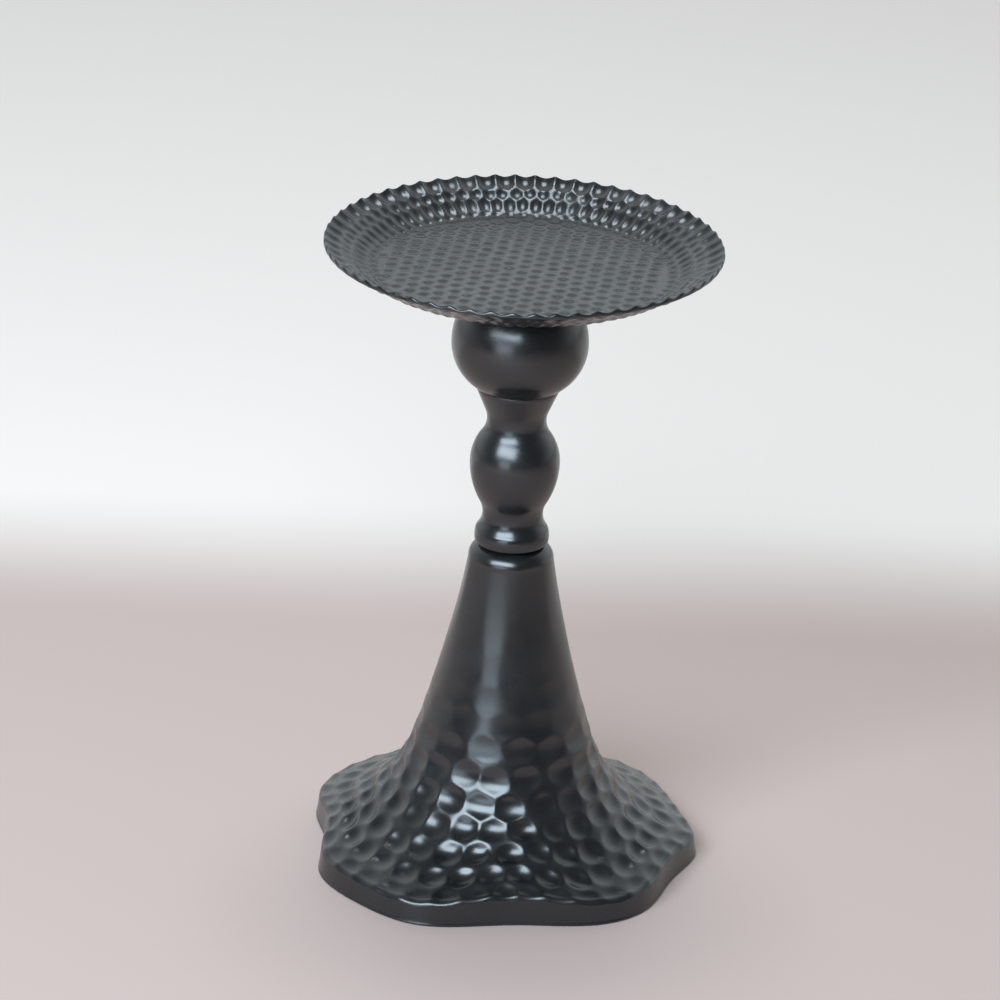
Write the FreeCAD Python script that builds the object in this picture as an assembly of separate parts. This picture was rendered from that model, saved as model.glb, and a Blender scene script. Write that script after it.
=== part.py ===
import FreeCAD, Part
import math
import os

from FreeCAD import Vector

# Candle stand: a hammered sheet bell, a turned stem and a pressed drip tray, drawn together by one
# tie rod on the upright axis. Millimetres and degrees, +Z up, the origin on the floor under the axis.

# Drip tray
TRAY_RADIUS = 65.0
TRAY_FLOOR_RADIUS = 49.5
TRAY_DEPTH = 9.5
TRAY_SHEET = 1.2
TRAY_CORNER_RADIUS = 7.0
RIM_THICKNESS = 2.4
RIM_ROUNDING = 0.5
SCALLOP_COUNT = 60
SCALLOP_DEPTH = 1.1
SCALLOP_LENGTH = 5.0
SCALLOP_LAND = 0.35
SCALLOP_START_ANGLE = 0.5

# Bulb under the tray
BULB_RADIUS = 22.45
BULB_BELOW_CENTRE = 15.1
BULB_ABOVE_CENTRE = 21.7
BULB_SEAT_RADIUS = 13.8
BULB_CROWN_RADIUS = 9.2

# Baluster: collar, cone, neck, knob, lower neck, bead and seat, from the top down
COLLAR_RADIUS = 13.75
COLLAR_LIP = 0.8
UPPER_NECK_RADIUS = 9.8
UPPER_NECK_BELOW_COLLAR = 11.0
KNOB_RADIUS = 14.85
KNOB_BELOW_NECK = 15.2
KNOB_CROWN_SHARE = 0.66
CREASE_RADIUS = 11.0
CREASE_BELOW_KNOB = 14.1
LOWER_NECK_RADIUS = 10.05
LOWER_NECK_BELOW_CREASE = 3.3
BEAD_RADIUS = 12.4
BEAD_BELOW_NECK = 8.0
BEAD_CROWN_SHARE = 0.6
BEAD_FOOT_RADIUS = 12.15
BEAD_FOOT_BELOW_BEAD = 2.7
SEAT_RADIUS = 9.0
SEAT_HEIGHT = 1.0
SPIGOT_RADIUS = 6.0
SPIGOT_LENGTH = 1.0

# Bell base
BELL_HEIGHT = 112.1
BELL_TOP_RADIUS = 13.6
BELL_TOP_ROUNDING = 5.2
WAIST_RADIUS = 30.5
WAIST_HEIGHT = 40.0
BELL_HOLLOW = 1.5
FLANGE_RADIUS = 64.0
FLANGE_HEIGHT = 8.5
BELL_SHEET = 1.5
FOOT_RADIUS = 68.0
FOOT_DRAFT = 0.8
FOOT_ROUNDING = 2.2

# Foot outline: turn from +X, and the share of the foot radius by which the edge is drawn in there
FOOT_OUTLINE_SHARES = (
    (3, 0.018),
    (21, 0.056),
    (47, 0.000),
    (75, 0.053),
    (99, 0.035),
    (123, 0.050),
    (148, 0.010),
    (166, 0.050),
    (183, 0.134),
    (204, 0.038),
    (226, 0.021),
    (247, 0.015),
    (276, 0.128),
    (304, 0.021),
    (317, 0.012),
    (341, 0.076),
)

# Tie rod and its fastenings
ROD_RADIUS = 3.0
ROD_CHAMFER = 0.6
ROD_TAIL = 6.0
ROD_BORE_CLEARANCE = 0.4
THREAD_CLEARANCE = 0.05
SPIGOT_CLEARANCE = 0.2
WELD_FLANGE_RADIUS = 9.0
WELD_FLANGE_THICKNESS = 2.8
WELD_BARREL_RADIUS = 5.5
WELD_BARREL_LENGTH = 8.0
BARREL_CLEARANCE = 0.4
CLAMP_WASHER_RADIUS = 9.0
CLAMP_WASHER_THICKNESS = 1.6
SPRING_WASHER_RADIUS = 5.9
SPRING_WASHER_THICKNESS = 1.6
SPRING_WASHER_GAP = 1.0
NUT_ACROSS_FLATS = 10.0
NUT_HEIGHT = 5.0

# Heights of the stack, worked up from the floor
KNOB_HEIGHT_UNDER_COLLAR = COLLAR_LIP + UPPER_NECK_BELOW_COLLAR + KNOB_BELOW_NECK
BALUSTER_LENGTH = (
    KNOB_HEIGHT_UNDER_COLLAR
    + CREASE_BELOW_KNOB
    + LOWER_NECK_BELOW_CREASE
    + BEAD_BELOW_NECK
    + BEAD_FOOT_BELOW_BEAD
    + SEAT_HEIGHT
)
BULB_BOTTOM = BELL_HEIGHT + BALUSTER_LENGTH
BULB_CENTRE = BULB_BOTTOM + BULB_BELOW_CENTRE
BULB_TOP = BULB_CENTRE + BULB_ABOVE_CENTRE
TRAY_UNDERSIDE = BULB_TOP + WELD_FLANGE_THICKNESS
TRAY_FLOOR = TRAY_UNDERSIDE + TRAY_SHEET
RIM_TOP = TRAY_FLOOR + TRAY_DEPTH
WASHER_TOP = BELL_HEIGHT - BELL_SHEET
SPRING_WASHER_TOP = WASHER_TOP - CLAMP_WASHER_THICKNESS
NUT_TOP = SPRING_WASHER_TOP - SPRING_WASHER_THICKNESS
ROD_BOTTOM = NUT_TOP - NUT_HEIGHT - ROD_TAIL

AXIS = Vector(0, 0, 1)
FLOOR_CENTRE = Vector(0, 0, 0)


def at(radius, height):
    """Point of a turned profile, in the plane y = 0."""
    return Vector(radius, 0, height)


def line(start, end):
    """Straight edge of a profile."""
    return Part.LineSegment(start, end).toShape()


def arc(start, middle, end):
    """Round edge of a profile through three points."""
    return Part.Arc(start, middle, end).toShape()


def chain(points):
    """Straight edges from point to point."""
    return [line(a, b) for a, b in zip(points, points[1:])]


def turned(edges):
    """Solid turned about the stand's axis from a closed profile."""
    return Part.Face(Part.Wire(edges)).revolve(FLOOR_CENTRE, AXIS, 360)


def disc(radius, bottom, height):
    """Upright cylinder on the axis."""
    return Part.makeCylinder(radius, height, Vector(0, 0, bottom))


def quarter_sag(start, end, radius_sign):
    """Middle point of the arc that leaves end upright and meets start.

    end is where the profile stands upright; radius_sign is +1 where the arc swells outwards
    to end and -1 where it hollows inwards to end.
    """
    rise = abs(start.z - end.z)
    reach = abs(start.x - end.x)
    radius = (rise * rise + reach * reach) / (2 * reach)
    centre = end.x - radius_sign * radius
    half = math.asin(rise / radius) / 2
    height = end.z + math.copysign(radius * math.sin(half), start.z - end.z)
    return at(centre + radius_sign * radius * math.cos(half), height)


def tray_wall():
    """Outward and upward unit direction of the tray's flared wall."""
    direction = at(TRAY_RADIUS, RIM_TOP) - at(TRAY_FLOOR_RADIUS, TRAY_FLOOR)
    return direction.normalize()


def tray_face_edges(floor_height, floor_radius, corner_radius, top):
    """Floor, rounded corner and wall of one face of the sheet, from the axis out to the point top."""
    slope = math.atan2(tray_wall().z, tray_wall().x)
    tangent = corner_radius * math.tan(slope / 2)
    corner_start = at(floor_radius - tangent, floor_height)
    corner_end = at(floor_radius + tangent * math.cos(slope), floor_height + tangent * math.sin(slope))
    centre = at(corner_start.x, floor_height + corner_radius)
    half = slope / 2
    middle = at(centre.x + corner_radius * math.sin(half), centre.z - corner_radius * math.cos(half))
    return [
        line(at(0, floor_height), corner_start),
        arc(corner_start, middle, corner_end),
        line(corner_end, top),
    ]


def scallop_cutters():
    """Round bars that press the row of open dimples into the rim's upper edge."""
    half_width = TRAY_RADIUS * math.sin(math.pi / SCALLOP_COUNT) - SCALLOP_LAND / 2
    radius = (half_width**2 + SCALLOP_DEPTH**2) / (2 * SCALLOP_DEPTH)
    wall_slope = tray_wall().z / tray_wall().x
    inner = at(TRAY_RADIUS - SCALLOP_LENGTH, RIM_TOP - SCALLOP_LENGTH * wall_slope)
    outer = at(TRAY_RADIUS, RIM_TOP - SCALLOP_DEPTH)
    along = (outer - inner).normalize()
    above = Vector(-along.z, 0, along.x)
    length = (outer - inner).Length
    base = inner + above * radius - along * length
    bar = Part.makeCylinder(radius, 3 * length, base, along)
    bars = []
    for number in range(SCALLOP_COUNT):
        turn = SCALLOP_START_ANGLE + number * 360.0 / SCALLOP_COUNT
        bars.append(bar.rotated(FLOOR_CENTRE, AXIS, turn))
    return bars


def drip_tray():
    """Pressed dish with a thickened, scalloped rim."""
    wall = tray_wall()
    sheet_drop = TRAY_SHEET / wall.x
    corner_shift = TRAY_SHEET * math.tan(math.atan2(wall.z, wall.x) / 2)
    rim_inner = at(TRAY_RADIUS - RIM_ROUNDING, RIM_TOP - RIM_ROUNDING * wall.z / wall.x)
    rim_bottom = RIM_TOP - RIM_THICKNESS
    rim_outer = at(TRAY_RADIUS - RIM_ROUNDING, rim_bottom)
    rim_swell = at(TRAY_RADIUS, RIM_TOP - RIM_THICKNESS / 2)
    bead_width = (RIM_THICKNESS - sheet_drop) * wall.x / wall.z
    rim_root = at(TRAY_RADIUS - bead_width, rim_bottom)
    upper = tray_face_edges(TRAY_FLOOR, TRAY_FLOOR_RADIUS, TRAY_CORNER_RADIUS, rim_inner)
    lower = tray_face_edges(
        TRAY_UNDERSIDE, TRAY_FLOOR_RADIUS + corner_shift, TRAY_CORNER_RADIUS + TRAY_SHEET, rim_root
    )
    edge = [arc(rim_inner, rim_swell, rim_outer), line(rim_outer, rim_root)]
    middle = [line(at(0, TRAY_FLOOR), at(0, TRAY_UNDERSIDE))]
    blank = turned(upper + edge + lower[::-1] + middle)
    return blank.cut(scallop_cutters()).removeSplitter()


def tray_weld_nut():
    """Flanged nut welded under the tray, which takes the top of the tie rod."""
    bore = ROD_RADIUS + THREAD_CLEARANCE
    flange = disc(WELD_FLANGE_RADIUS, BULB_TOP, WELD_FLANGE_THICKNESS)
    barrel = disc(WELD_BARREL_RADIUS, BULB_TOP - WELD_BARREL_LENGTH, WELD_BARREL_LENGTH)
    blank = flange.fuse(barrel).removeSplitter()
    return blank.cut(disc(bore, BULB_TOP - WELD_BARREL_LENGTH, WELD_BARREL_LENGTH))


def bulb():
    """Turned ball, flatter below than above, bored for the rod and counterbored for the weld nut."""
    seat = at(BULB_SEAT_RADIUS, BULB_BOTTOM)
    girth = at(BULB_RADIUS, BULB_CENTRE)
    crown = at(BULB_CROWN_RADIUS, BULB_TOP)
    outline = chain([crown, at(0, BULB_TOP), at(0, BULB_BOTTOM), seat])
    outline.append(arc(seat, quarter_sag(seat, girth, 1), girth))
    outline.append(arc(girth, quarter_sag(crown, girth, 1), crown))
    counterbore = WELD_BARREL_LENGTH + BARREL_CLEARANCE
    bore = disc(ROD_RADIUS + ROD_BORE_CLEARANCE, BULB_BOTTOM, BULB_TOP - BULB_BOTTOM)
    pocket = disc(WELD_BARREL_RADIUS + BARREL_CLEARANCE, BULB_TOP - counterbore, counterbore)
    return turned(outline).cut([bore, pocket])


def hollow_round(neck, swelling, crown_share):
    """Centre and radius of a neck's hollow, and where it runs smoothly into the swelling below it."""
    rise = neck.z - swelling.z
    fall = swelling.x - neck.x
    both = (rise * rise + fall * fall) / (2 * fall)
    crown = both * crown_share
    cove = both - crown
    crown_centre = at(swelling.x - crown, swelling.z)
    cove_centre = at(neck.x + cove, neck.z)
    meet = crown_centre + (cove_centre - crown_centre) * crown_share
    return cove_centre, cove, meet


def upper_neck_edges(lip, neck, knob):
    """Straight cone under the collar, the neck's hollow and the upper half of the knob, all smooth."""
    centre, cove, meet = hollow_round(neck, knob, KNOB_CROWN_SHARE)
    way = lip - centre
    turn = math.atan2(way.z, way.x) + math.acos(cove / way.Length)
    touch = centre + at(math.cos(turn), math.sin(turn)) * cove
    return [line(lip, touch), arc(touch, neck, meet), arc(meet, quarter_sag(meet, knob, 1), knob)]


def lower_neck_edges(crease, neck, bead):
    """Lower neck's hollow from the crease under the knob down to the girth of the bead."""
    meet = hollow_round(neck, bead, BEAD_CROWN_SHARE)[2]
    return [
        arc(crease, quarter_sag(crease, neck, -1), neck),
        arc(neck, quarter_sag(meet, neck, -1), meet),
        arc(meet, quarter_sag(meet, bead, 1), bead),
    ]


def baluster():
    """Turned stem between bell and bulb, with a seat on the bell and a spigot that centres it there."""
    collar_top = at(COLLAR_RADIUS, BULB_BOTTOM)
    collar_lip = at(COLLAR_RADIUS, BULB_BOTTOM - COLLAR_LIP)
    neck = at(UPPER_NECK_RADIUS, collar_lip.z - UPPER_NECK_BELOW_COLLAR)
    knob = at(KNOB_RADIUS, neck.z - KNOB_BELOW_NECK)
    crease = at(CREASE_RADIUS, knob.z - CREASE_BELOW_KNOB)
    lower_neck = at(LOWER_NECK_RADIUS, crease.z - LOWER_NECK_BELOW_CREASE)
    bead = at(BEAD_RADIUS, lower_neck.z - BEAD_BELOW_NECK)
    bead_foot = at(BEAD_FOOT_RADIUS, bead.z - BEAD_FOOT_BELOW_BEAD)
    seat_top = at(SEAT_RADIUS, bead_foot.z)
    seat_edge = at(SEAT_RADIUS, BELL_HEIGHT)
    seat_root = at(SPIGOT_RADIUS, BELL_HEIGHT)
    spigot_end = at(SPIGOT_RADIUS, BELL_HEIGHT - SPIGOT_LENGTH)
    spigot_axis = at(0, BELL_HEIGHT - SPIGOT_LENGTH)
    top_axis = at(0, BULB_BOTTOM)
    edges = chain([top_axis, collar_top, collar_lip])
    edges += upper_neck_edges(collar_lip, neck, knob)
    edges.append(arc(knob, quarter_sag(crease, knob, 1), crease))
    edges += lower_neck_edges(crease, lower_neck, bead)
    edges.append(arc(bead, quarter_sag(bead_foot, bead, 1), bead_foot))
    edges += chain([bead_foot, seat_top, seat_edge, seat_root, spigot_end, spigot_axis, top_axis])
    bore_length = BALUSTER_LENGTH + SPIGOT_LENGTH
    bore = disc(ROD_RADIUS + ROD_BORE_CLEARANCE, BELL_HEIGHT - SPIGOT_LENGTH, bore_length)
    return turned(edges).cut(bore)


def arc_centre(start, middle, end):
    """Centre of the round through three profile points."""
    return Part.Arc(start, middle, end).toShape().Curve.Center


def bell_rounds():
    """Centres and radii of the bell's two outer rounds, the long one above the waist and the flare below."""
    top = at(BELL_TOP_RADIUS, BELL_HEIGHT)
    waist = at(WAIST_RADIUS, WAIST_HEIGHT)
    flange = at(FLANGE_RADIUS, FLANGE_HEIGHT)
    chord = (waist - top).normalize()
    inward = Vector(chord.z, 0, -chord.x)
    upper_centre = arc_centre(top, (top + waist) * 0.5 + inward * BELL_HOLLOW, waist)
    upper_radius = (waist - upper_centre).Length
    towards = (upper_centre - waist).normalize()
    reach = flange - waist
    flare_radius = reach.dot(reach) / (2 * reach.dot(towards))
    flare_centre = waist + towards * flare_radius
    return upper_centre, upper_radius, flare_centre, flare_radius


def radius_on_round(centre, radius, height):
    """Distance from the axis to a round that hollows inwards, at a height."""
    return centre.x - math.sqrt(radius**2 - (height - centre.z) ** 2)


def bell_turned(sheet, top, rounding):
    """Turned body of the bell, drawn in by a sheet thickness, out past the foot's edge."""
    upper_centre, upper_radius, flare_centre, flare_radius = bell_rounds()
    upper_radius += sheet
    flare_radius += sheet
    away = (at(WAIST_RADIUS, WAIST_HEIGHT) - flare_centre).normalize()
    waist = flare_centre + away * flare_radius
    shoulder_height = top - rounding
    shoulder = at(radius_on_round(upper_centre, upper_radius, shoulder_height), shoulder_height)
    top_edge = at(shoulder.x - rounding, top)
    corner = at(top_edge.x + rounding * math.sin(math.pi / 4), shoulder.z + rounding * math.cos(math.pi / 4))
    middle_height = (shoulder.z + waist.z) / 2
    upper_middle = at(radius_on_round(upper_centre, upper_radius, middle_height), middle_height)
    lowest = flare_centre - AXIS * flare_radius
    flare_middle = flare_centre + (waist + lowest - flare_centre * 2).normalize() * flare_radius
    edge = FOOT_RADIUS + FOOT_DRAFT + BELL_SHEET
    rim = at(max(edge, lowest.x + BELL_SHEET), lowest.z)
    edges = [
        line(at(0, top), top_edge),
        arc(top_edge, corner, shoulder),
        arc(shoulder, upper_middle, waist),
        arc(waist, flare_middle, lowest),
    ]
    edges += chain([lowest, rim, at(rim.x, 0), at(0, 0), at(0, top)])
    return turned(edges)


def foot_wire(inset, height):
    """Closed smooth outline of the foot, drawn in by an inset."""
    points = []
    for turn, drawn_in in FOOT_OUTLINE_SHARES:
        radius = FOOT_RADIUS * (1 - drawn_in) - inset
        angle = math.radians(turn)
        points.append(Vector(radius * math.cos(angle), radius * math.sin(angle), height))
    curve = Part.BSplineCurve()
    curve.interpolate(points, PeriodicFlag=True)
    return Part.Wire(curve.toShape())


def foot_block(inset, height):
    """Block inside the foot's turned-down band, which leans in a little towards the top."""
    top_inset = inset + FOOT_DRAFT * height / FLANGE_HEIGHT
    return Part.makeLoft([foot_wire(inset, 0), foot_wire(top_inset, height)], True)


def band_edges(solid):
    """Edges where the flare turns down into the foot's band."""
    found = []
    for edge in solid.Edges:
        box = edge.BoundBox
        wide = box.XLength > WAIST_RADIUS * 2
        if wide and box.ZMin > FLANGE_HEIGHT / 2 and box.ZMax < WAIST_HEIGHT / 2:
            found.append(edge)
    return found


def base_bell():
    """Hollow bell on a wavy foot whose edge is turned down to the floor."""
    outer = bell_turned(0, BELL_HEIGHT, BELL_TOP_ROUNDING).common(foot_block(0, BELL_HEIGHT))
    outer = outer.makeFillet(FOOT_ROUNDING, band_edges(outer))
    inner_rounding = max(BELL_TOP_ROUNDING - BELL_SHEET, BELL_SHEET / 5)
    inner = bell_turned(BELL_SHEET, BELL_HEIGHT - BELL_SHEET, inner_rounding)
    inner = inner.common(foot_block(BELL_SHEET, BELL_HEIGHT))
    hole = disc(SPIGOT_RADIUS + SPIGOT_CLEARANCE, BELL_HEIGHT - 2 * BELL_SHEET, 3 * BELL_SHEET)
    return outer.cut([inner, hole])


def tie_rod():
    """Threaded rod, drawn plain, from the weld nut down to the nut inside the bell."""
    length = TRAY_UNDERSIDE - WELD_FLANGE_THICKNESS - ROD_BOTTOM
    rod = disc(ROD_RADIUS, ROD_BOTTOM, length)
    ends = [edge for edge in rod.Edges if edge.Closed]
    return rod.makeChamfer(ROD_CHAMFER, ends)


def clamp_washer():
    """Broad washer that spreads the nut's pull under the bell's top."""
    bottom = WASHER_TOP - CLAMP_WASHER_THICKNESS
    blank = disc(CLAMP_WASHER_RADIUS, bottom, CLAMP_WASHER_THICKNESS)
    return blank.cut(disc(ROD_RADIUS + ROD_BORE_CLEARANCE, bottom, CLAMP_WASHER_THICKNESS))


def spring_washer():
    """Split washer that keeps the nut from working loose."""
    bottom = SPRING_WASHER_TOP - SPRING_WASHER_THICKNESS
    blank = disc(SPRING_WASHER_RADIUS, bottom, SPRING_WASHER_THICKNESS)
    hole = disc(ROD_RADIUS + ROD_BORE_CLEARANCE, bottom, SPRING_WASHER_THICKNESS)
    slot = Part.makeBox(
        SPRING_WASHER_RADIUS,
        SPRING_WASHER_GAP,
        SPRING_WASHER_THICKNESS,
        Vector(0, -SPRING_WASHER_GAP / 2, bottom),
    )
    return blank.cut([hole, slot])


def hex_nut():
    """Hexagon nut with both faces chamfered to the flats."""
    bottom = NUT_TOP - NUT_HEIGHT
    corner_radius = NUT_ACROSS_FLATS / 2 / math.cos(math.pi / 6)
    corners = []
    for number in range(7):
        angle = number * math.pi / 3
        corners.append(Vector(corner_radius * math.cos(angle), corner_radius * math.sin(angle), bottom))
    prism = Part.Face(Part.makePolygon(corners)).extrude(AXIS * NUT_HEIGHT)
    flat_radius = NUT_ACROSS_FLATS / 2
    drop = (corner_radius - flat_radius) * math.tan(math.pi / 6)
    crown = turned(
        chain(
            [
                at(0, bottom),
                at(flat_radius, bottom),
                at(corner_radius, bottom + drop),
                at(corner_radius, NUT_TOP - drop),
                at(flat_radius, NUT_TOP),
                at(0, NUT_TOP),
                at(0, bottom),
            ]
        )
    )
    return prism.common(crown).cut(disc(ROD_RADIUS + THREAD_CLEARANCE, bottom, NUT_HEIGHT))


PIECES = {
    "drip_tray": drip_tray,
    "tray_weld_nut": tray_weld_nut,
    "bulb": bulb,
    "baluster": baluster,
    "base_bell": base_bell,
    "tie_rod": tie_rod,
    "clamp_washer": clamp_washer,
    "spring_washer": spring_washer,
    "hex_nut": hex_nut,
}

os.makedirs("parts", exist_ok=True)
for node, make in PIECES.items():
    shape = make()
    shape.exportStep("parts/" + node + ".step")
    print(f"{node}: {len(shape.Solids)} solid, valid {shape.isValid()}, volume {shape.Volume:.1f} mm3")
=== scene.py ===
"""Candle stand: hammered tray and bell, turned stem and its fastenings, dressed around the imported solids.

Lengths are in metres and angles in radians, unless a line says otherwise.
"""

import logging
import math
import random
from dataclasses import dataclass, field
from enum import Enum
from typing import Callable, ClassVar

import bmesh
import bpy
from bmesh.types import BMEdge, BMesh, BMFace, BMVert
from bpy.types import ID, Material, Node, NodeSocket, NodeTree, Object
from mathutils import Matrix, Vector
from mathutils.bvhtree import BVHTree
from mathutils.kdtree import KDTree


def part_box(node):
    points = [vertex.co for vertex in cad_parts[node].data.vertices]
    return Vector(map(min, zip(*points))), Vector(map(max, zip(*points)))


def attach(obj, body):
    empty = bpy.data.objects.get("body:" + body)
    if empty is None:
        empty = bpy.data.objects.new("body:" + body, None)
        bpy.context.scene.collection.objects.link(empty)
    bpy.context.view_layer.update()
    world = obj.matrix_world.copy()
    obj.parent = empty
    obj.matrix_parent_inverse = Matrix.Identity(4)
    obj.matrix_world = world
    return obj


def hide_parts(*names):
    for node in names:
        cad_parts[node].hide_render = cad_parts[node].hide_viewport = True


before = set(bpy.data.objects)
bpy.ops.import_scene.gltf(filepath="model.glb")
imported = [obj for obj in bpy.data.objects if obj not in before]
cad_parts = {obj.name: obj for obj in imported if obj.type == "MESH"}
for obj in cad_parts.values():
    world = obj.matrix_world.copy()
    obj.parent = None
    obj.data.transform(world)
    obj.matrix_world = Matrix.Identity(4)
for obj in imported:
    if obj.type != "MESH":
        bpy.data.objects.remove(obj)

MM = 0.001
MERGE_DISTANCE = 1e-6
NEAR_DISTANCE = 10.0 * MERGE_DISTANCE
DOUBLINGS = 3
BEVEL_SEGMENTS = 2
SHEET_SHARP_ANGLE = math.radians(60.0)
TURNED_SHARP_ANGLE = math.radians(35.0)
THREAD_SHARP_ANGLE = math.radians(25.0)
ORIGIN = Vector((0.0, 0.0, 0.0))
UP = Vector((0.0, 0.0, 1.0))
Colour = tuple[float, float, float]
log = logging.getLogger("candle_stand")


class Slot(Enum):
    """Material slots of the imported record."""

    HAMMERED = "hammered_black_paint"
    SMOOTH = "smooth_black_paint"
    ZINC = "zinc_plate"


# Profiles and spun meshes


@dataclass(frozen=True)
class Spot:
    """Point of a turned profile.

    Attributes:
        radius: Distance from the upright axis.
        height: Height over the floor.
    """

    radius: float
    height: float

    def vector(self) -> Vector:
        """The point as a vector in the plane of radius and height."""
        return Vector((self.radius, self.height))

    def below(self, upper: "Spot") -> "Spot":
        """The point with this radius that lies this height under another one."""
        return Spot(self.radius, upper.height - self.height)


def circle_through(first: Vector, middle: Vector, last: Vector) -> tuple[Vector, float]:
    """Find the circle through three points of a plane.

    Args:
        first: First point.
        middle: Second point.
        last: Third point.

    Returns:
        The circle's centre and radius.
    """
    a = middle - first
    b = last - first
    twice_area = 2.0 * (a.x * b.y - a.y * b.x)
    a_square = a.length_squared
    b_square = b.length_squared
    offset = Vector(
        (
            (b.y * a_square - a.y * b_square) / twice_area,
            (a.x * b_square - b.x * a_square) / twice_area,
        )
    )
    return first + offset, offset.length


def upright_middle(start: Spot, upright: Spot) -> Spot:
    """Find the middle of the round that stands upright at its widest end.

    Args:
        start: Other end of the round.
        upright: End at which the round stands upright.

    Returns:
        A point half way along the round.
    """
    rise = abs(start.height - upright.height)
    reach = abs(start.radius - upright.radius)
    radius = (rise * rise + reach * reach) / (2.0 * reach)
    half = math.asin(rise / radius) / 2.0
    lift = math.copysign(radius * math.sin(half), start.height - upright.height)
    return Spot(upright.radius - radius + radius * math.cos(half), upright.height + lift)


@dataclass
class Profile:
    """Line in the plane of radius and height that is spun about the upright axis.

    Attributes:
        FEWEST_STEPS: Fewest steps in a round.
        step: Longest distance between two points.
        points: Points of the line so far.
    """

    FEWEST_STEPS: ClassVar[int] = 4
    step: float
    points: list[Vector] = field(default_factory=list)

    def start(self, spot: Spot) -> "Profile":
        """Begin the line at a point."""
        self.points = [spot.vector()]
        return self

    def line(self, end: Spot) -> "Profile":
        """Go straight to a point.

        Args:
            end: Point to go to.

        Returns:
            The profile itself.
        """
        begin = self.points[-1]
        finish = end.vector()
        count = max(1, math.ceil((finish - begin).length / self.step))
        self.points += [begin.lerp(finish, number / count) for number in range(1, count + 1)]
        return self

    def arc(self, middle: Spot, end: Spot) -> "Profile":
        """Go round through a point to another.

        Args:
            middle: Point on the way.
            end: Point to go to.

        Returns:
            The profile itself.
        """
        begin = self.points[-1]
        centre, radius = circle_through(begin, middle.vector(), end.vector())
        from_angle = math.atan2(begin.y - centre.y, begin.x - centre.x)
        turn = self._turn(begin - centre, middle.vector() - centre)
        turn += self._turn(middle.vector() - centre, end.vector() - centre)
        count = max(self.FEWEST_STEPS, math.ceil(abs(turn) * radius / self.step))
        for number in range(1, count + 1):
            angle = from_angle + turn * number / count
            self.points.append(centre + radius * Vector((math.cos(angle), math.sin(angle))))
        return self

    @staticmethod
    def _turn(first: Vector, second: Vector) -> float:
        """Signed angle from one direction of the plane to another."""
        return math.atan2(first.x * second.y - first.y * second.x, first.dot(second))

    def end(self) -> Spot:
        """The last point of the line."""
        return Spot(self.points[-1].x, self.points[-1].y)

    def first(self) -> Spot:
        """The first point of the line."""
        return Spot(self.points[0].x, self.points[0].y)

    def length(self) -> float:
        """Length of the whole line."""
        return sum((b - a).length for a, b in zip(self.points, self.points[1:]))

    def along(self, distance: float) -> tuple[Vector, Vector]:
        """Find a place on the line.

        Args:
            distance: Way from the start of the line.

        Returns:
            The point there and the unit direction of the line.
        """
        for a, b in zip(self.points, self.points[1:]):
            run = (b - a).length
            if distance <= run:
                return a.lerp(b, distance / run), (b - a).normalized()
            distance -= run
        return self.points[-1], (self.points[-1] - self.points[-2]).normalized()


def spin_line(
    mesh: BMesh,
    points: list[Vector],
    turn: float,
    steps: int,
    closed: bool = False,
    climb: float = 0.0,
) -> None:
    """Spin a line of the plane of radius and height about the upright axis.

    Args:
        mesh: Mesh that takes the faces.
        points: Points of the line.
        turn: Angle that it is spun through.
        steps: Number of steps in that angle.
        closed: Whether the line runs back to its start.
        climb: How far it rises with each step.
    """
    verts = [mesh.verts.new((point.x, 0.0, point.y)) for point in points]
    edges = [mesh.edges.new(pair) for pair in zip(verts, verts[1:])]
    if closed:
        edges.append(mesh.edges.new((verts[-1], verts[0])))
    bmesh.ops.spin(
        mesh,
        geom=verts + edges,
        cent=ORIGIN,
        axis=UP,
        dvec=climb * UP,
        angle=turn,
        steps=steps,
        use_merge=False,
        use_duplicate=False,
    )


def spin_bands(mesh: BMesh, bands: list[tuple[Profile, int]], closed: bool = False) -> None:
    """Spin profiles into full bands: a sector of each, doubled until it closes.

    Args:
        mesh: Mesh that takes the bands.
        bands: Profiles with the steps of their full turn.
        closed: Whether each profile runs back to its start.
    """
    older = set(mesh.faces)
    sectors = 2**DOUBLINGS
    for profile, steps in bands:
        spin_line(mesh, profile.points, math.tau / sectors, steps // sectors, closed)
    faces = [face for face in mesh.faces if face not in older]
    for doubling in range(DOUBLINGS):
        copied = bmesh.ops.duplicate(mesh, geom=faces)["geom"]
        turn = Matrix.Rotation(math.tau / 2 ** (DOUBLINGS - doubling), 3, UP)
        verts = [item for item in copied if isinstance(item, BMVert)]
        bmesh.ops.rotate(mesh, cent=ORIGIN, matrix=turn, verts=verts)
        faces += [item for item in copied if isinstance(item, BMFace)]
    seam = {vert for face in faces for vert in face.verts}
    bmesh.ops.remove_doubles(mesh, verts=list(seam), dist=MERGE_DISTANCE)


def open_edges(mesh: BMesh, spot: Spot) -> list[BMEdge]:
    """Collect the open edges of a spun band that ends at a profile point.

    Args:
        mesh: Mesh that holds the band.
        spot: End of the band's profile.

    Returns:
        The edges of that ring.
    """

    def on_ring(vert: BMVert) -> bool:
        """Whether a vertex lies on the ring."""
        off = math.hypot(math.hypot(vert.co.x, vert.co.y) - spot.radius, vert.co.z - spot.height)
        return off < NEAR_DISTANCE

    return [edge for edge in mesh.edges if edge.is_boundary and all(map(on_ring, edge.verts))]


def join_bands(mesh: BMesh, first: Spot, second: Spot) -> None:
    """Bridge the gap between two spun bands.

    Args:
        mesh: Mesh that holds both bands.
        first: Profile end of one band.
        second: Profile end of the other band.
    """
    bmesh.ops.bridge_loops(mesh, edges=open_edges(mesh, first) + open_edges(mesh, second))


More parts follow.
